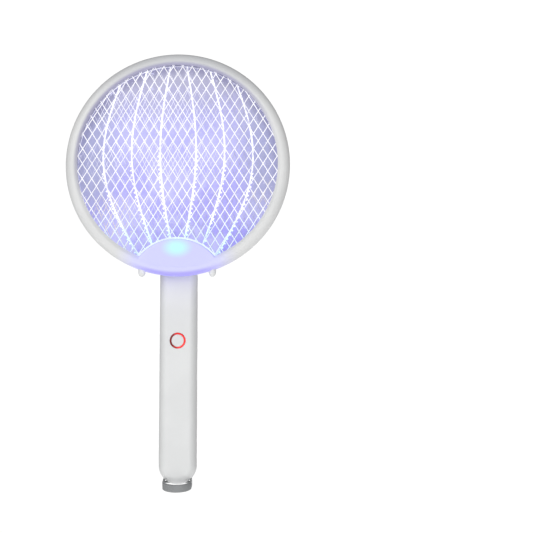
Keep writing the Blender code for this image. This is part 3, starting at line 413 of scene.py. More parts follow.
def screw_piece(cad_node, body):
    """A pan head screw with a cross recess, head towards +Y."""
    low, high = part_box(cad_node)
    centre = Vector(((low.x + high.x) / 2, 0, (low.z + high.z) / 2))
    head = (high.x - low.x) / 2
    shank, crown = head * 0.5, head * 0.67
    profile = [(0, high.y), (head * 0.55, high.y), (head * 0.85, high.y - crown * 0.25)]
    profile += [(head, high.y - crown * 0.7), (head, high.y - crown), (shank, high.y - crown)]
    profile += [(shank, low.y + shank), (0, low.y)]
    bm = bmesh.new()
    lathe(bm, profile, centre, y_axis, steps=28)
    screw = close_piece(bm, cad_node.replace("screw", "fastener"))
    bars, bar_length, bar_width = [], head * 1.1, head * 0.28
    for wide, tall in ((bar_length, bar_width), (bar_width, bar_length)):
        bm = bmesh.new()
        block(bm, (wide, crown, tall), (centre.x, high.y, centre.z))
        bars.append(close_piece(bm, "cutter"))
    carve(screw, *bars)
    settle(screw, body, "screw_steel", zinc, cad_node)


for number in (1, 2, 3):
    screw_piece(f"handle_screw_{number}", "handle")
for number in (1, 2, 3, 4):
    screw_piece(f"head_screw_{number}", "head")

# ---------------------------------------------------------------- front button and its light ring
# A round push cap in white plastic inside a translucent ring, which a red lamp lights from within.
# The ring stands a hair proud of the shell; the cap is slightly dished for the thumb.


def lit_ring_finish():
    """Translucent red plastic: it glows unevenly round the ring, as the lamp is on one side."""
    material, shader, place = new_finish("lit_red_ring")
    x, _, z = place.parts()
    side = (x + abs(button_centre.z - z) * 0.5).fade(-0.55 * light_ring_radius, 0.8 * light_ring_radius)
    mottle = place.noise(700, 3)
    glow = side.blend((0.05, 0.001, 0.002), (1.0, 0.030, 0.028))
    mottle.fade(0.25, 0.6).blend((0.10, 0.003, 0.004), glow).into(shader, "Emission Color")
    side.blend((0.20, 0.008, 0.008), (0.42, 0.02, 0.02)).into(shader, "Base Color")
    shader.inputs["Emission Strength"].default_value = 1.0
    shader.inputs["Roughness"].default_value = 0.28
    return material


ring_low, ring_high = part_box("light_ring")
ring_width = 0.00125
ring_inner = light_ring_radius - ring_width
crown, middle = (light_ring_radius - ring_inner) / 2, (light_ring_radius + ring_inner) / 2
profile = [(ring_inner, ring_high.y), (light_ring_radius, ring_high.y)]
profile += [(middle + crown * c, ring_low.y + crown * 0.5 * (1 - s)) for c, s in arc((0, 0), 1, 0, 180, 8)]
bm = bmesh.new()
lathe(bm, profile, button_centre, y_axis, steps=96)
light_ring = close_piece(bm, "button_light_ring")
settle(light_ring, "handle", "light_ring_red", lit_ring_finish(), "light_ring")

control_plastic = moulded("control_plastic", (0.79, 0.80, 0.80), 0.36, grain=1800)
cap_radius, cap_top = ring_inner - slip, button_low.y
cap_rounding, dish_depth = 0.0005, 0.00035
flange_radius, flange_thickness, stem_radius = button_high.x, 0.0010, 0.0020
flange_front = ring_high.y + slip
flange_back = flange_front + flange_thickness
profile = [(cap_radius * share, cap_top + dish_depth * (1 - share**2)) for share in (0, 0.25, 0.5, 0.75)]
profile += [(cap_radius - cap_rounding, cap_top)]
profile += [(cap_radius - 0.2 * cap_rounding, cap_top + 0.36 * cap_rounding)]
profile += [(cap_radius, cap_top + cap_rounding), (cap_radius, flange_front)]
profile += [(flange_radius, flange_front), (flange_radius, flange_back)]
profile += [(stem_radius, flange_back), (stem_radius, button_high.y), (0, button_high.y)]
bm = bmesh.new()
lathe(bm, profile, button_centre, y_axis, steps=72)
front_cap = close_piece(bm, "front_push_cap")
settle(front_cap, "front_key", "control_white", control_plastic, "front_button")

# ---------------------------------------------------------------- slide switch and side button
# On the +X side a knob with two finger pads runs in a recessed slot, over the power switch.
# Above it is a long press button, flush with the shell, on a flange that keeps it in.

plate_depth = slot_high.x - slot_low.x
bm = bmesh.new()
extrude_outline(bm, capsule(slot_low, slot_high), x_axis * plate_depth, lambda y, z: (slot_low.x, y, z))
bezel = close_piece(bm, "slide_slot_plate")
knob_low, knob_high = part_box("slide_knob")
knob_z = (knob_low.z + knob_high.z) / 2
travel_down, travel_up = 0.0060, 0.0110
stem_width, stem_length = 0.0020, 0.0030
window_side, stem_end = stem_width / 2 + slip, stem_length / 2 + slip
window_low, window_high = knob_z - travel_down - stem_end, knob_z + travel_up + stem_end
window = [(-window_side, window_low), (window_side, window_low)]
window += [(window_side, window_high), (-window_side, window_high)]
bm = bmesh.new()
extrude_outline(bm, window, x_axis * 3 * past, lambda y, z: (slot_low.x - past, y, z))
carve(bezel, close_piece(bm, "cutter"))
settle(bezel, "handle", "control_white", control_plastic, "slide_bezel")

overlap = 0.0005  # how far bodies of one piece reach into each other
pad_height, pad_length, pad_margin, pad_offset = 0.0006, 0.0036, 0.0016, 0.0023
cap_base, pad_level = slot_high.x + slip, knob_high.x - pad_height / 2
bm = bmesh.new()
cap = capsule(knob_low, knob_high)
extrude_outline(bm, cap, x_axis * (pad_level - cap_base), lambda y, z: (cap_base, y, z))
soften(bm, 0.0004, 3)
for offset in (-pad_offset, pad_offset):
    pad_size = (pad_height, knob_high.y - knob_low.y - pad_margin, pad_length)
    pad = block(bm, pad_size, (pad_level, 0, knob_z + offset))
    edges = list({edge for vert in pad for edge in vert.link_edges})
    bevel = {"offset": 0.00025, "segments": 2, "profile": 0.5, "affect": "EDGES", "material": -1}
    bmesh.ops.bevel(bm, geom=edges, offset_type="OFFSET", **bevel)
stem_top = cap_base + overlap
stem_size = (stem_top - knob_low.x, stem_width, stem_length)
block(bm, stem_size, ((stem_top + knob_low.x) / 2, 0, knob_z))
knob = close_piece(bm, "slide_finger_knob")
settle(knob, "slide", "control_white", control_plastic, "slide_knob")

key_room = 0.0010  # between the flange and the inside of the wall
flange_top = half_width - handle_wall - key_room
cap_start = flange_top - overlap
bm = bmesh.new()
cap = capsule(key_low, key_high, key_flange + slip, steps=28)
extrude_outline(bm, cap, x_axis * (key_high.x - cap_start), lambda y, z: (cap_start, y, z))
soften(bm, 0.0005, 4)
plate = capsule(key_low, key_high, steps=28)
extrude_outline(bm, plate, x_axis * (flange_top - key_low.x), lambda y, z: (key_low.x, y, z))
side_key = close_piece(bm, "side_press_key")
settle(side_key, "side_key", "control_white", control_plastic, "side_button")

# ---------------------------------------------------------------- hanging loop
# A flat band of grey plastic bent round in a U, closed by a pin that the handle's tip clamps.
# It swings on the pin, and is stored pointing forward.

loop_grey = moulded("loop_plastic", (0.275, 0.283, 0.290), 0.44, grain=1100, depth=0.00005)
loop_swing = math.radians(77)
loop_reach = 0.0238
bend_thickness = 0.0030  # the bend is thicker than the arms
inside = loop_half_width - loop_thickness
bend = (0, loop_half_width - loop_reach)
hollow = (0, bend[1] + bend_thickness - loop_thickness)
outline = arc(bend, loop_half_width, 180, 360, 48) + [(loop_half_width, arm_end), (inside, arm_end)]
outline += arc(hollow, inside, 360, 180, 48) + [(-inside, arm_end), (-loop_half_width, arm_end)]
bm = bmesh.new()
extrude_outline(bm, outline, y_axis * loop_band, lambda x, z: (x, -loop_band / 2, z))
soften(bm, 0.0005, 3)
across = inside + loop_thickness / 2
pin = [(0, -across), (pin_radius, -across), (pin_radius, across), (0, across)]
lathe(bm, pin, Vector((0, 0, 0)), x_axis, steps=28)
swing = Matrix.Translation(pin_centre) @ Matrix.Rotation(-loop_swing, 4, x_axis)
bmesh.ops.transform(bm, matrix=swing, verts=bm.verts)
loop = close_piece(bm, "hanging_loop_band")
settle(loop, "loop", "loop_grey", loop_grey, "hanging_loop")

# ---------------------------------------------------------------- inside the handle
# One rechargeable cell between a cone spring and a contact, and a board with its transformer,
# capacitor and press switches. They are only seen when the handle is opened.


def striped(name, colour, band_colour, pitch, roughness):
    """Wound tape or printed film: bands round the piece, along Z."""
    material, shader, place = new_finish(name)
    _, _, z = place.parts()
    band = place.maths("FRACT", z / pitch).fade(0.78, 0.84)
    fibres = place.noise(900, 3)
    between = fibres.blend(darker(colour, 0.85), colour)
    band.blend(between, band_colour).into(shader, "Base Color")
    (roughness + 0.15 * fibres).into(shader, "Roughness")
    fibres.relief(shader, 0.2, 0.00003)
    return material


def solder_mask():
    """Green lacquer over copper tracks that run along the board."""
    material, shader, place = new_finish("solder_mask")
    squares = {"feature": "F1", "distance": "CHEBYCHEV"}
    tracks = place.node("TexVoronoi", squares, {"Vector": place, "Scale": 260})
    edge = tracks.fade(0.30, 0.36)
    edge.blend((0.03, 0.17, 0.07), (0.015, 0.10, 0.04)).into(shader, "Base Color")
    (0.30 + 0.15 * edge).into(shader, "Roughness")
    edge.relief(shader, 0.4, 0.00003)
    return material


paint_nodes(striped("cell_film", (0.05, 0.20, 0.50), (0.60, 0.62, 0.66), 0.0325, 0.25), "battery_cell")
paint_nodes(striped("winding_tape", (0.80, 0.62, 0.10), (0.55, 0.40, 0.05), 0.0025, 0.40), "hv_transformer")
paint_nodes(moulded("dipped_resin", (0.05, 0.20, 0.50), 0.30, grain=300, depth=0.0001), "hv_capacitor")
paint_nodes(solder_mask(), "main_board", "lamp_board")
black_plastic = moulded("black_plastic", (0.03, 0.03, 0.03), 0.45, grain=900)
paint_nodes(black_plastic, "front_press_switch", "side_press_switch", "lead_bundle")

# ---------------------------------------------------------------- head shells
# The rim is two hollow half rings in the same white plastic, with a moon-shaped chin at the bottom.
# The lamp's light through the chin's walls is painted on them: violet round about, and pale cyan over the
# LEDs.

head_low, head_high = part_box("ring_front_shell")[0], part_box("ring_back_shell")[1]
head_radius = head_high.x
head_centre = Vector((0, (head_low.y + head_high.y) / 2, head_high.z - head_radius))
half_depth = (head_high.y - head_low.y) / 2
rim_round, lip_width, lip_drop, lip_thickness, seat_width = 0.0080, 0.0037, 0.0022, 0.0009, 0.0028
head_wall = 0.0020
crest = head_radius - rim_round
opening = crest - lip_width
seat = opening + seat_width
chin_height, chin_radius = 0.0350, 0.0460
chin_z = chin_height - head_radius - chin_radius  # the chin arc's centre, below the head's
chin_top = head_centre.z + chin_z + chin_radius
lamp_depth = chin_height * 0.62  # the lamp's violet light is centred this far below the chin's top
spot_width, spot_height, spot_depth = 0.0150, 0.0098, 0.0085


def lamp_lit(name, colour, roughness):
    """Shell plastic with the lamp's light behind it painted on as glow and tint, fading with the distance
    from the LEDs.

    The rim's inner slope is painted in shade at the top, the top of the rim is painted a darker grey as
    shade, and the outer edge of the chin is painted a deeper violet as shade in the lamp's light.
    """
    material, shader, place = new_finish(name)
    x, _, z = place.parts()
    up = z - head_centre.z
    radius = (x**2 + up**2) ** 0.5
    down = (chin_top - z) - lamp_depth
    # painted light: the lamp's violet glow and the pale cyan spot over the LEDs, as glow and as tint in the
    # base colour
    violet = 1 - (((x * 0.80) ** 2 + down**2) ** 0.5).fade(0.018, 0.050)
    reach = ((x / spot_width) ** 2 + ((z - chin_top + spot_depth) / spot_height) ** 2) ** 0.5
    spot = 1 - reach.fade(0.20, 1.15)
    lit = violet.blend((0.0, 0.0, 0.0), (0.09, 0.085, 0.50))
    spot.blend(lit, (0.06, 0.40, 0.50)).into(shader, "Emission Color")
    shader.inputs["Emission Strength"].default_value = 1.0
    inner = 1 - radius.fade(crest - 0.0030, crest + 0.0002)
    shaded = inner * (up / head_radius - 0.35 * x / head_radius).fade(-0.25, 0.75)
    plain = moulded_surface(shader, place, colour, roughness)
    # painted shade: the top of the rim is blended towards a darker grey
    plain = (0.55 * (up / head_radius).fade(0.35, 0.95)).blend(plain, (0.52, 0.53, 0.56))
    plain = shaded.blend(plain, (0.40, 0.39, 0.54))
    # painted shade: the chin's outer edge goes a deeper, darker violet in the lamp's light
    outer = radius.fade(crest + 0.0030, crest + 0.0062) * violet
    lamp_tint_and_edge_shade = outer.blend((0.58, 0.59, 0.65), (0.37, 0.335, 0.62))
    tinted = violet.blend(plain, lamp_tint_and_edge_shade)
    spot.blend(tinted, (0.52, 0.60, 0.64)).into(shader, "Base Color")
    return material


def rim_profile(side):
    """Half of the hollow rim, as radius and distance from the parting plane."""
    inner_width, inner_depth = rim_round - head_wall, half_depth - head_wall
    cavity, lip_back = seat + head_wall, half_depth - lip_drop - lip_thickness
    profile = [(head_radius, parting)]
    profile += [(crest + rim_round * c, half_depth * s) for c, s in arc((0, 0), 1, 4, 90, 18)]
    profile += [
        (crest - lip_width * share, half_depth - lip_drop * share**1.6) for share in (0.25, 0.5, 0.75, 1)
    ]
    profile += [(opening, lip_back), (seat, lip_back)]
    profile += [(seat, parting), (cavity, parting), (cavity, inner_depth * 0.95)]
    profile += [(crest + inner_width * c, inner_depth * s) for c, s in arc((0, 0), 1, 70, 6, 8)]
    return [(radius, side * along) for radius, along in profile + [(head_radius - head_wall, parting)]]


def meeting(radius, chin):
    """Where a circle round the head's centre meets one round the chin's, as seen from each, in degrees."""
    height = (radius**2 - chin**2 + chin_z**2) / (2 * chin_z)
    return math.degrees(math.asin(height / radius)), math.degrees(math.asin((height - chin_z) / chin))


def on_head(level):
    """Puts a flat outline at a level in front of or behind the head's middle plane."""
    return lambda x, z: head_centre + Vector((x, level, z))


plate_sink, plate_reach, arch_sink = 0.00015, crest + 0.0005, 0.0001
brow_rounding = 0.0012


def chin_plate(bm, side):
    """The moon-shaped plate, and the arched wall that closes the chin towards the nets."""
    face, close = half_depth - plate_sink, 1e-5
    outer, inner = meeting(plate_reach, chin_radius)
    moon = arc((0, 0), plate_reach, 180 - outer, 360 + outer, 60)
    moon += arc((0, chin_z), chin_radius, inner, 180 - inner, 60)[1:-1]
    plate = bmesh.new()
    extrude_outline(plate, moon, y_axis * -side * head_wall, on_head(side * face))
    bmesh.ops.recalc_face_normals(plate, faces=plate.faces)
    chin_centre = head_centre + z_axis * chin_z

    def on_brow(vert):
        """Whether a corner of the plate is on its outer face, along the arch."""
        away = (vert.co - chin_centre).xz.length
        return abs(away - chin_radius) < close and (vert.co.y - head_centre.y) * side > face - close

    brow = [edge for edge in plate.edges if edge.calc_face_angle() > 1 and all(map(on_brow, edge.verts))]
    rounding = {"offset": brow_rounding, "segments": 5, "profile": 0.5, "affect": "EDGES", "material": -1}
    bmesh.ops.bevel(plate, geom=brow, offset_type="OFFSET", **rounding)
    arch = chin_radius - arch_sink
    upper, lower = meeting(seat, arch)[1], meeting(seat, chin_radius - head_wall)[1]
    wall = arc((0, chin_z), arch, upper, 180 - upper, 60)
    wall += arc((0, chin_z), chin_radius - head_wall, 180 - lower, lower, 60)
    depth = face - head_wall * 0.7 - parting
    extrude_outline(plate, wall, y_axis * side * depth, on_head(side * parting))
    join(bm, plate)


screw_seat = 0.0011  # the depth of a head screw's crown
lit_shell = lamp_lit("lamp_lit_shell", (0.775, 0.78, 0.78), 0.42)
for side, cad_node in ((-1, "ring_front_shell"), (1, "ring_back_shell")):
    bm = bmesh.new()
    lathe(bm, rim_profile(side), head_centre, y_axis, steps=192)
    rim = close_piece(bm, cad_node.replace("shell", "moulding"))
    if side > 0:
        recesses = []
        for number in (1, 2, 3, 4):
            low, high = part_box(f"head_screw_{number}")
            middle = Vector(((low.x + high.x) / 2, 0, (low.z + high.z) / 2))
            radius = (high.x - low.x) / 2 + slip
            recesses.append(plug(radius, high.y - screw_seat - slip, head_high.y + past, middle, y_axis))
        carve(rim, *recesses)
    # the plate laps over the rim, so it joins it only after the recesses are cut
    bm = bmesh.new()
    bm.from_mesh(rim.data)
    chin_plate(bm, side)
    bmesh.ops.recalc_face_normals(bm, faces=bm.faces)
    bm.to_mesh(rim.data)
    bm.free()
    settle(rim, "head", "shell_white", lit_shell, cad_node, sharp=32)

# ---------------------------------------------------------------- pivot
# The head turns on a hollow tube that is clipped inside the handle, with a thin plain disc
# between the two as a bearing. The lamp's and the nets' leads run through the tube.

disc_low, disc_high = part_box("pivot_disc")
bm = bmesh.new()
disc_inner, disc_outer = pivot_radius + slip, disc_high.x
profile = [(disc_inner, disc_low.y), (disc_outer, disc_low.y), (disc_outer, disc_high.y)]
lathe(bm, profile + [(disc_inner, disc_high.y)], pivot_centre, y_axis, steps=72)
soften(bm, 0.0003)
disc = close_piece(bm, "pivot_bearing_disc")
settle(disc, "handle", "shell_white", shell_plastic, "pivot_disc")
paint_nodes(shell_plastic, "pivot_tube")

# ---------------------------------------------------------------- feet
# Two short round-ended pegs of the shell's plastic stand out under the rim.
# Each has a flange inside the rim that keeps it from being pulled out.

foot_lip, foot_flange = 0.0006, 0.0010
for cad_node in ("foot_left", "foot_right"):
    low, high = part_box(cad_node)
    centre = Vector(((low.x + high.x) / 2, (low.y + high.y) / 2, 0))
    flange = (high.x - low.x) / 2
    peg, flange_z = flange - foot_lip, high.z - foot_flange
    profile = [(0, high.z), (flange, high.z), (flange, flange_z), (peg, flange_z), (peg, low.z + peg * 1.3)]
    profile += [(peg * c, low.z + peg * 1.3 * (1 - s)) for c, s in arc((0, 0), 1, 8, 90, 12)]
    bm = bmesh.new()
    lathe(bm, profile[:-1] + [(0, low.z)], centre, z_axis, steps=40)
    peg_piece = close_piece(bm, cad_node.replace("foot", "peg"))
    settle(peg_piece, "head", "shell_white", shell_plastic, cad_node)

# ---------------------------------------------------------------- fine screen
# Behind the ribs a fine violet mesh closes the head. The lamp's light from below is painted on it as glow,
# so it is brightest and bluest over the chin, with painted shade grey under the rim.


def lit_screen():
    """Violet mesh with the lamp's light painted on as a cloudy glow, paler patches and flecks of painted
    light, painted grey shade at the lower sides and the top, and a painted shadow under the rim.
    """
    material, shader, place = new_finish("lit_screen")
    x, _, z = place.parts()
    up = (z - head_centre.z) / head_radius
    out = abs(x) / head_radius
    radius = (up**2 + out**2) ** 0.5
    patches = place.noise(28, 5, 0.65)
    flecks = place.noise(260, 2)
    # painted light: the lamp's glow, bluer low down, with paler patches
    field = up.fade(-0.85, 0.35).blend((0.42, 0.36, 1.15), (0.60, 0.58, 1.15))
    field = patches.fade(0.42, 0.62).blend(field, (0.72, 0.70, 1.20))
    # painted shade: greyer low at the outer sides
    side_shade = (out + patches * 0.25).fade(0.60, 0.86) * up.fade(-0.65, -0.15)
    field = side_shade.blend(field, (0.44, 0.46, 0.70))
    # painted shade: greyer towards the top, away from the lamp
    high = (up + patches * 0.3).fade(0.35, 1.0)
    field = (high * 0.85).blend(field, (0.52, 0.51, 0.47))
    shaded = (radius + patches * 0.10).fade(0.84, 0.97) * up.fade(-0.35, 0.45)
    field = (shaded * 0.9).blend(field, (0.13, 0.12, 0.22))
    # painted light: small bright flecks in the glow
    field = flecks.fade(0.66, 0.74).blend(field, (0.80, 0.80, 1.0))
    threads = place.node("TexWave", {"bands_direction": "X"}, {"Vector": place, "Scale": 420})
    rows = place.node("TexWave", {"bands_direction": "Z"}, {"Vector": place, "Scale": 420})
    weave = (threads * rows).fade(0.0, 0.5)
    (0.16 * (1 - weave)).blend(field, (0.2, 0.2, 0.4)).into(shader, "Emission Color")
    shader.inputs["Emission Strength"].default_value = 0.58
    weave.blend((0.17, 0.17, 0.28), (0.27, 0.27, 0.42)).into(shader, "Base Color")
    shader.inputs["Roughness"].default_value = 0.7
    weave.relief(shader, 0.5, 0.0001)
    return material


screen_low, screen_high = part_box("fine_screen")
screen_radius = screen_high.x
outer, inner = meeting(screen_radius, chin_radius + slip)
window = arc((0, 0), screen_radius, outer, 180 - outer, 120)
window += arc((0, chin_z), chin_radius + slip, 180 - inner, inner, 40)[1:-1]
bm = bmesh.new()
thickness = screen_high.y - screen_low.y
extrude_outline(bm, window, y_axis * thickness, on_head(screen_low.y - head_centre.y))
screen = close_piece(bm, "violet_screen")
settle(screen, "head", "screen_lavender", lit_screen(), "fine_screen")

# ---------------------------------------------------------------- nets
# Each net is a thin ring with an arch over the chin and straight wires strung across it.
# The outer two guard the fingers, and the inner two are the live grids, kept apart by spacers.

frame_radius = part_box("front_guard")[1].x
frame_width = 0.0020
frame_inner = frame_radius - frame_width
wire_sink = 0.0004  # how far a wire reaches into the arch
arch_inner, arch_outer = chin_radius + slip, chin_radius + slip + frame_width * 0.75


def net_frame(bm, low, high):
    """The ring and arch of one net, between two levels."""
    ring = bmesh.new()
    section = [(frame_inner, low), (frame_radius, low), (frame_radius, high), (frame_inner, high)]
    lathe(ring, section, Vector((0, 0, head_centre.z)), y_axis, steps=144)
    ends = meeting(frame_inner + frame_width / 2, arch_inner)[1]
    outline = arc((0, chin_z), arch_outer, ends, 180 - ends, 48)
    outline += arc((0, chin_z), arch_inner, 180 - ends, ends, 48)
    extrude_outline(ring, outline, y_axis * (high - low), on_head(low - head_centre.y))
    join(bm, ring)


def strands(slope, pitch, phase):
    """The straight stretches that a row of parallel wires has between the ring and the arch."""
    along = Vector((math.cos(slope), math.sin(slope)))
    across = Vector((-along.y, along.x))
    reach, below = frame_inner + frame_width / 2, Vector((0, chin_z))
    count = int(frame_inner / pitch) + 1
    for k in range(-count, count + 1):
        middle = across * (k + phase) * pitch
        if middle.length > frame_inner - pitch / 3:
            continue
        line = middle - along, middle + along
        ends = sorted(intersect_line_sphere_2d(*line, Vector((0, 0)), reach, False), key=along.dot)
        spans = [ends]
        near, far = intersect_line_sphere_2d(*line, below, arch_outer - wire_sink, False)
        if near is not None:
            near, far = sorted((near, far), key=along.dot)
            before, after = min(near, ends[1], key=along.dot), max(far, ends[0], key=along.dot)
            spans = [(ends[0], before), (after, ends[1])]
        for start, end in spans:
            if (end - start).dot(along) > 3 * frame_width:
                yield start, end


def wire(bm, start, end, level, radius, sides=6):
    """A round wire from start to end, at a level."""
    start, end = on_head(level)(*start), on_head(level)(*end)
    turn = (end - start).to_track_quat("Z", "Y").to_matrix().to_4x4()
    cone = {"segments": sides, "radius1": radius, "radius2": radius, "depth": (end - start).length}
    bmesh.ops.create_cone(bm, cap_ends=True, matrix=Matrix.Translation((start + end) / 2) @ turn, **cone)


def net_plastic(name, colour, emission):
    """Glossy white moulding with the lamp's light painted on as an uneven glow and glints, with a cyan cast
    low down near the chin.
    """
    material, shader, place = new_finish(name)
    _, _, z = place.parts()
    height = (z - chin_top) / (2 * head_radius)
    clouds = place.noise(60, 3)
    clouds.fade(0.3, 0.6).blend(darker(colour, 0.94), colour).into(shader, "Base Color")
    # painted light: the lamp's glow, cyan low down near the chin, with painted glints dimmer in cloudy
    # patches
    cast = height.fade(0.0, 0.16).blend((0.42, 0.86, 1.0), (1.0, 1.0, 1.0))
    glint = clouds.fade(0.25, 0.75).blend((0.55, 0.55, 0.60), (1.0, 1.0, 1.0))
    both = {"data_type": "RGBA", "blend_type": "MULTIPLY"}
    cast.node("Mix", both, {0: 1.0, 6: cast, 7: glint}, out=2).into(shader, "Emission Color")
    shader.inputs["Emission Strength"].default_value = emission
    (0.22 + 0.14 * clouds).into(shader, "Roughness")
    clouds.relief(shader, 0.2, 0.0001)
    return material


bright_net = net_plastic("bright_net_plastic", (0.90, 0.90, 0.93), 0.30)
wire_slope, wire_pitch, wire_radius = math.radians(58), 0.0077, 0.00043
guard_low, guard_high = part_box("front_guard")
bm = bmesh.new()
net_frame(bm, guard_low.y, guard_high.y)
for slope, share in ((wire_slope, 0.28), (-wire_slope, 0.62)):
    level = guard_low.y + (guard_high.y - guard_low.y) * share - head_centre.y
    for start, end in strands(slope, wire_pitch, 0.0):
        wire(bm, start, end, level, wire_radius)
front_net = close_piece(bm, "front_diamond_net")
settle(front_net, "head", "net_white", bright_net, "front_guard")


def grid_metal():
    """Bright drawn wire with the lamp's light painted on as glints here and there, and painted yellow light
    on stretches low at the sides.
    """
    material, shader, place = new_finish("grid_wire")
    x, _, z = place.parts()
    up = z - head_centre.z
    patches = place.noise(26, 3)
    streaks = place.noise(500, 2)
    # painted light: patches low at the sides, out of the lamp's violet light, are painted yellow in base
    # colour and glow
    low_side = abs(x).fade(0.25 * head_radius, 0.6 * head_radius) * (1 - up.fade(-0.04, 0.0))
    painted_yellow_light = patches.fade(0.52, 0.60) * low_side
    painted_yellow_light.blend((0.42, 0.42, 0.50), (0.62, 0.56, 0.40)).into(shader, "Base Color")
    # painted glints: the lamp's light catching the wires up and left of the middle, as glow
    off_light = ((x + 0.022) ** 2 + ((up - 0.030) * 0.75) ** 2) ** 0.5
    caught = (1 - off_light.fade(0.035, 0.085)) * patches.fade(0.34, 0.50)
    glint = caught.blend((0.16, 0.16, 0.26), (0.98, 0.98, 1.08))
    painted_yellow_light.blend(glint, (0.60, 0.55, 0.44)).into(shader, "Emission Color")
    shader.inputs["Emission Strength"].default_value = 0.62
    (0.85 * patches.fade(0.0, 0.3)).into(shader, "Metallic")
    (0.24 + 0.2 * streaks).into(shader, "Roughness")
    return material


drawn_wire = grid_metal()
grid_slope, grid_pitch, grid_wire_radius = math.radians(66), 0.0083, 0.00020
for cad_node, slope in (("hv_grid_front", grid_slope), ("hv_grid_rear", -grid_slope)):
    low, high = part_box(cad_node)
    bm = bmesh.new()
    net_frame(bm, low.y, high.y)
    for start, end in strands(slope, grid_pitch, 0.5):
        wire(bm, start, end, (low.y + high.y) / 2 - head_centre.y, grid_wire_radius)
    grid = close_piece(bm, cad_node.replace("hv_grid", "live_grid"))
    settle(grid, "head", "grid_steel", drawn_wire, cad_node)

# The spacers are painted a dark grey-violet, as the shade under the rim between the nets.
spacer_painted_shade = moulded("spacer_plastic", (0.30, 0.30, 0.40), 0.5, grain=900)
for cad_node in ("grid_spacer_front", "grid_spacer_rear"):
    low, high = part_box(cad_node)
    bm = bmesh.new()
    net_frame(bm, low.y, high.y)
    spacer = close_piece(bm, cad_node.replace("grid_spacer", "grid_insulator"))
    settle(spacer, "head", "spacer_white", spacer_painted_shade, cad_node)

# ---------------------------------------------------------------- meridian ribs
# Six ribs fan up from the chin and swell out at mid height, each with a row of small studs
# along its lower half. They carry the screen and, with the lamp's light painted on them as glow, are the
# brightest lines.

rib_low, rib_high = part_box("rib_frame")
rib_level = (rib_low.y + rib_high.y) / 2 - head_centre.y
rib_tops, rib_middles = (0.0078, 0.0304, 0.0560), (0.0172, 0.0446, 0.0712)
rib_feet = (0.0067, 0.0238, 0.0365)
rib_radius = 0.00080
stud_pitch, stud_offset, stud_radius = 0.0036, 0.0016, 0.00095


def rib_line(top_x, middle_x, foot_x, side, steps=40):
    """A rib's middle line, from the ring at the top to the chin's arch."""
    top = math.sqrt((frame_inner + frame_width / 2) ** 2 - top_x**2)
    foot = chin_z + math.sqrt((chin_radius + slip + frame_width * 0.4) ** 2 - foot_x**2)
    swell = middle_x - (top_x + foot_x) / 2
    for k in range(steps + 1):
        share = k / steps
        out = top_x + (foot_x - top_x) * share + swell * math.sin(math.pi * share)
        yield Vector((side * out, top + (foot - top) * share))


bm = bmesh.new()
net_frame(bm, rib_low.y, rib_high.y)
for places in zip(rib_tops, rib_middles, rib_feet):
    for side in (-1, 1):
        line = list(rib_line(*places, side))
        for start, end in zip(line, line[1:]):
            lap = (end - start) * 0.04
            wire(bm, start - lap, end + lap, rib_level, rib_radius, sides=8)
        studs = line[len(line) // 2 :]
        run = 0.0
        for start, end in zip(studs, studs[1:]):
            run += (end - start).length
            if run < stud_pitch:
                continue
            run = 0.0
            out = Vector((side * stud_offset, 0))
            ball = Matrix.Translation(on_head(rib_level)(*(end + out)))
            bmesh.ops.create_icosphere(bm, subdivisions=1, radius=stud_radius, matrix=ball)
rib_net = close_piece(bm, "meridian_ribs")
rib_plastic = net_plastic("rib_plastic", (0.93, 0.93, 0.96), 0.62)
settle(rib_net, "head", "net_white", rib_plastic, "rib_frame")

# ---------------------------------------------------------------- back guard
# Level rungs with slim spines down them make a shallow cage over the back of the screen.
# The cage swells a little towards the back, so its middle stands off the live grids.

back_low, back_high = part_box("back_guard")
bow, rung_pitch, rung_radius, rung_parts = 0.0026, 0.0096, 0.0006, 24
rung_level = (back_low.y + back_high.y) / 2 - head_centre.y
spine_level = back_high.y - 0.0007 - head_centre.y
bm = bmesh.new()
net_frame(bm, back_low.y, back_high.y)
cage = bmesh.new()
for start, end in strands(0.0, rung_pitch, 0.5):
    for k in range(rung_parts):
        near, far = start.lerp(end, k / rung_parts), start.lerp(end, (k + 1.02) / rung_parts)
        wire(cage, near, far, rung_level, rung_radius)
for places in zip(rib_tops, rib_middles, rib_feet):
    for side in (-1, 1):
        line = list(rib_line(*places, side, steps=30))
        for start, end in zip(line, line[1:]):
            wire(cage, start, end + (end - start) * 0.04, spine_level, rung_radius)
for vert in cage.verts:
    share = (vert.co - head_centre).xz.length / frame_inner
    vert.co.y += bow * max(0.0, 1 - share**2)
join(bm, cage)
back_net = close_piece(bm, "back_rung_cage")
back_plastic = net_plastic("back_net_plastic", (0.86, 0.86, 0.90), 0.10)
settle(back_net, "head", "net_white", back_plastic, "back_guard")

# ---------------------------------------------------------------- lamp
# Three violet LEDs on a small board shine up through a clear strip in the chin's arched wall.
# Each LED is a square resin body with a domed lens.


led_pitch = 0.009


def lit_lens():
    """Clear moulded strip, bright over each LED."""
    material, shader, place = new_finish("lit_lens")
    x, _, _ = place.parts()
    beat = place.maths("FRACT", x / led_pitch + 0.5)
    hot = 1 - abs(beat - 0.5).fade(0.05, 0.42)
    ripples = place.noise(400, 2)
    hot.blend((0.25, 0.60, 1.0), (0.55, 0.95, 1.0)).into(shader, "Emission Color")
    shader.inputs["Emission Strength"].default_value = 1.6
    hot.blend((0.62, 0.70, 0.95), (0.80, 0.92, 1.0)).into(shader, "Base Color")
    (0.08 + 0.10 * ripples).into(shader, "Roughness")
    return material


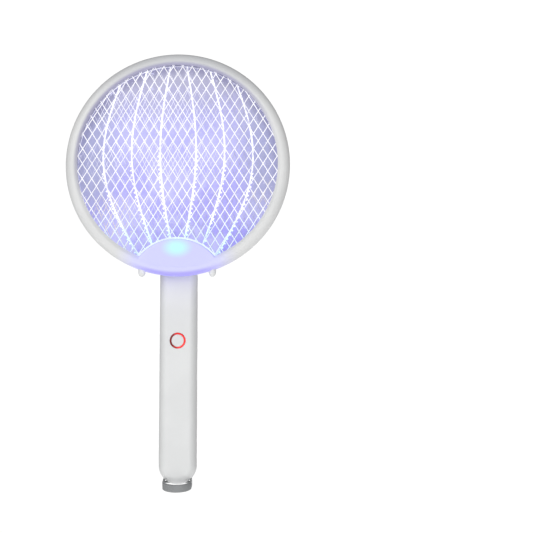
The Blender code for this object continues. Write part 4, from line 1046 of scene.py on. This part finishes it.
def led_resin():
    """Clear resin over a lit die, with fine specks in it."""
    material, shader, place = new_finish("led_resin")
    specks = place.noise(1500, 2)
    specks.fade(0.3, 0.7).blend((0.45, 0.40, 1.0), (0.70, 0.72, 1.0)).into(shader, "Emission Color")
    shader.inputs["Emission Strength"].default_value = 6.0
    specks.blend((0.55, 0.55, 0.95), (0.75, 0.75, 1.0)).into(shader, "Base Color")
    shader.inputs["Roughness"].default_value = 0.12
    return material


lens_low, lens_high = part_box("lamp_lens")
half_angle = math.degrees(math.asin(lens_high.x / chin_radius))
lens_proud = 0.00012
outline = arc((0, chin_z), chin_radius + lens_proud, 90 - half_angle, 90 + half_angle, 24)
outline += arc((0, chin_z), chin_radius - head_wall, 90 + half_angle, 90 - half_angle, 24)
bm = bmesh.new()
extrude_outline(bm, outline, y_axis * (lens_high.y - lens_low.y), on_head(lens_low.y - head_centre.y))
lens = close_piece(bm, "clear_lamp_strip")
settle(lens, "head", "lamp_lens", lit_lens(), "lamp_lens")

resin = led_resin()
body_share, dome_share = 0.55, 0.4  # of the LED's height, and of its width
for number in (1, 2, 3):
    low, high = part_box(f"uv_led_{number}")
    middle, size = (low + high) / 2, high - low
    bm = bmesh.new()
    body = size.z * body_share
    block(bm, (size.x, size.y, body), (middle.x, middle.y, low.z + body / 2))
    soften(bm, 0.0002)
    radius, dome_base = size.x * dome_share, low.z + size.z * 0.3
    dome = [(radius * c, low.z + size.z * (0.5 + 0.5 * s)) for c, s in arc((0, 0), 1, 0, 90, 8)]
    profile = [(0, dome_base), (radius, dome_base)] + dome[:-1] + [(0, high.z)]
    lathe(bm, profile, Vector((middle.x, middle.y, 0)), z_axis, steps=32)
    led = close_piece(bm, f"violet_led_{number}")
    settle(led, "head", "led_violet", resin, f"uv_led_{number}")

# ---------------------------------------------------------------- floor, light and camera
# A round white floor well below the swatter. Wide soft lights stand at the front left, weaker at
# the front right and behind, and faint above. The camera looks slightly up from in front.

floor_drop = 0.60
floor_mesh = bmesh.new()
bmesh.ops.create_circle(floor_mesh, cap_ends=True, segments=96, radius=5)
bmesh.ops.translate(floor_mesh, vec=(0, 0, cad_low.z - floor_drop), verts=floor_mesh.verts)
floor = close_piece(floor_mesh, "floor")
floor_white, floor_shader, _ = new_finish("floor_white")
floor_shader.inputs["Base Color"].default_value = (0.9, 0.9, 0.9, 1)
floor_shader.inputs["Roughness"].default_value = 0.9
floor_shader.inputs["Emission Color"].default_value = (1, 1, 1, 1)
floor_shader.inputs["Emission Strength"].default_value = 0.48
floor.data.materials.append(floor_white)

world = bpy.data.worlds.new("studio")
world.use_nodes = True
tree = world.node_tree
sky = tree.nodes["Background"]
seen = tree.nodes.new("ShaderNodeBackground")
for background, strength in ((sky, 0.25), (seen, 1.05)):
    background.inputs["Color"].default_value = (1, 1, 1, 1)
    background.inputs["Strength"].default_value = strength
ray = tree.nodes.new("ShaderNodeLightPath")
choose = tree.nodes.new("ShaderNodeMixShader")
tree.links.new(choose.inputs[0], ray.outputs["Is Camera Ray"])
tree.links.new(choose.inputs[1], sky.outputs[0])
tree.links.new(choose.inputs[2], seen.outputs[0])
tree.links.new(tree.nodes["World Output"].inputs["Surface"], choose.outputs[0])
bpy.context.scene.world = world


aim = Vector((0, 0, 0.08))


def soft_light(name, place, size, watts):
    """A wide white lamp turned towards the middle of the swatter."""
    lamp = bpy.data.lights.new(name, "AREA")
    lamp.shape, lamp.size, lamp.size_y = "RECTANGLE", *size
    lamp.energy = watts
    light = bpy.data.objects.new(name, lamp)
    light.location = place
    light.rotation_euler = (aim - Vector(place)).to_track_quat("-Z", "Y").to_euler()
    bpy.context.scene.collection.objects.link(light)


soft_light("key", (-0.75, -1.55, 0.95), (1.1, 1.5), 13.5)
soft_light("fill", (0.55, -1.6, 0.1), (1.0, 1.4), 6.8)
soft_light("back", (0, 1.9, 0.35), (1.0, 1.2), 7)
soft_light("top", (0, -0.2, 1.5), (1.2, 0.8), 1)

camera_data = bpy.data.cameras.new("camera")
camera_data.sensor_width = 36
camera_data.lens = 87.8
camera_data.clip_end = 100
camera = bpy.data.objects.new("camera", camera_data)
camera.location = (0.0944, -1.2546, -0.0313)
camera.rotation_euler = (math.radians(90 + 5.76), 0, math.radians(0.44))
bpy.context.scene.collection.objects.link(camera)
bpy.context.scene.camera = camera
bpy.context.scene.view_settings.view_transform = "Standard"
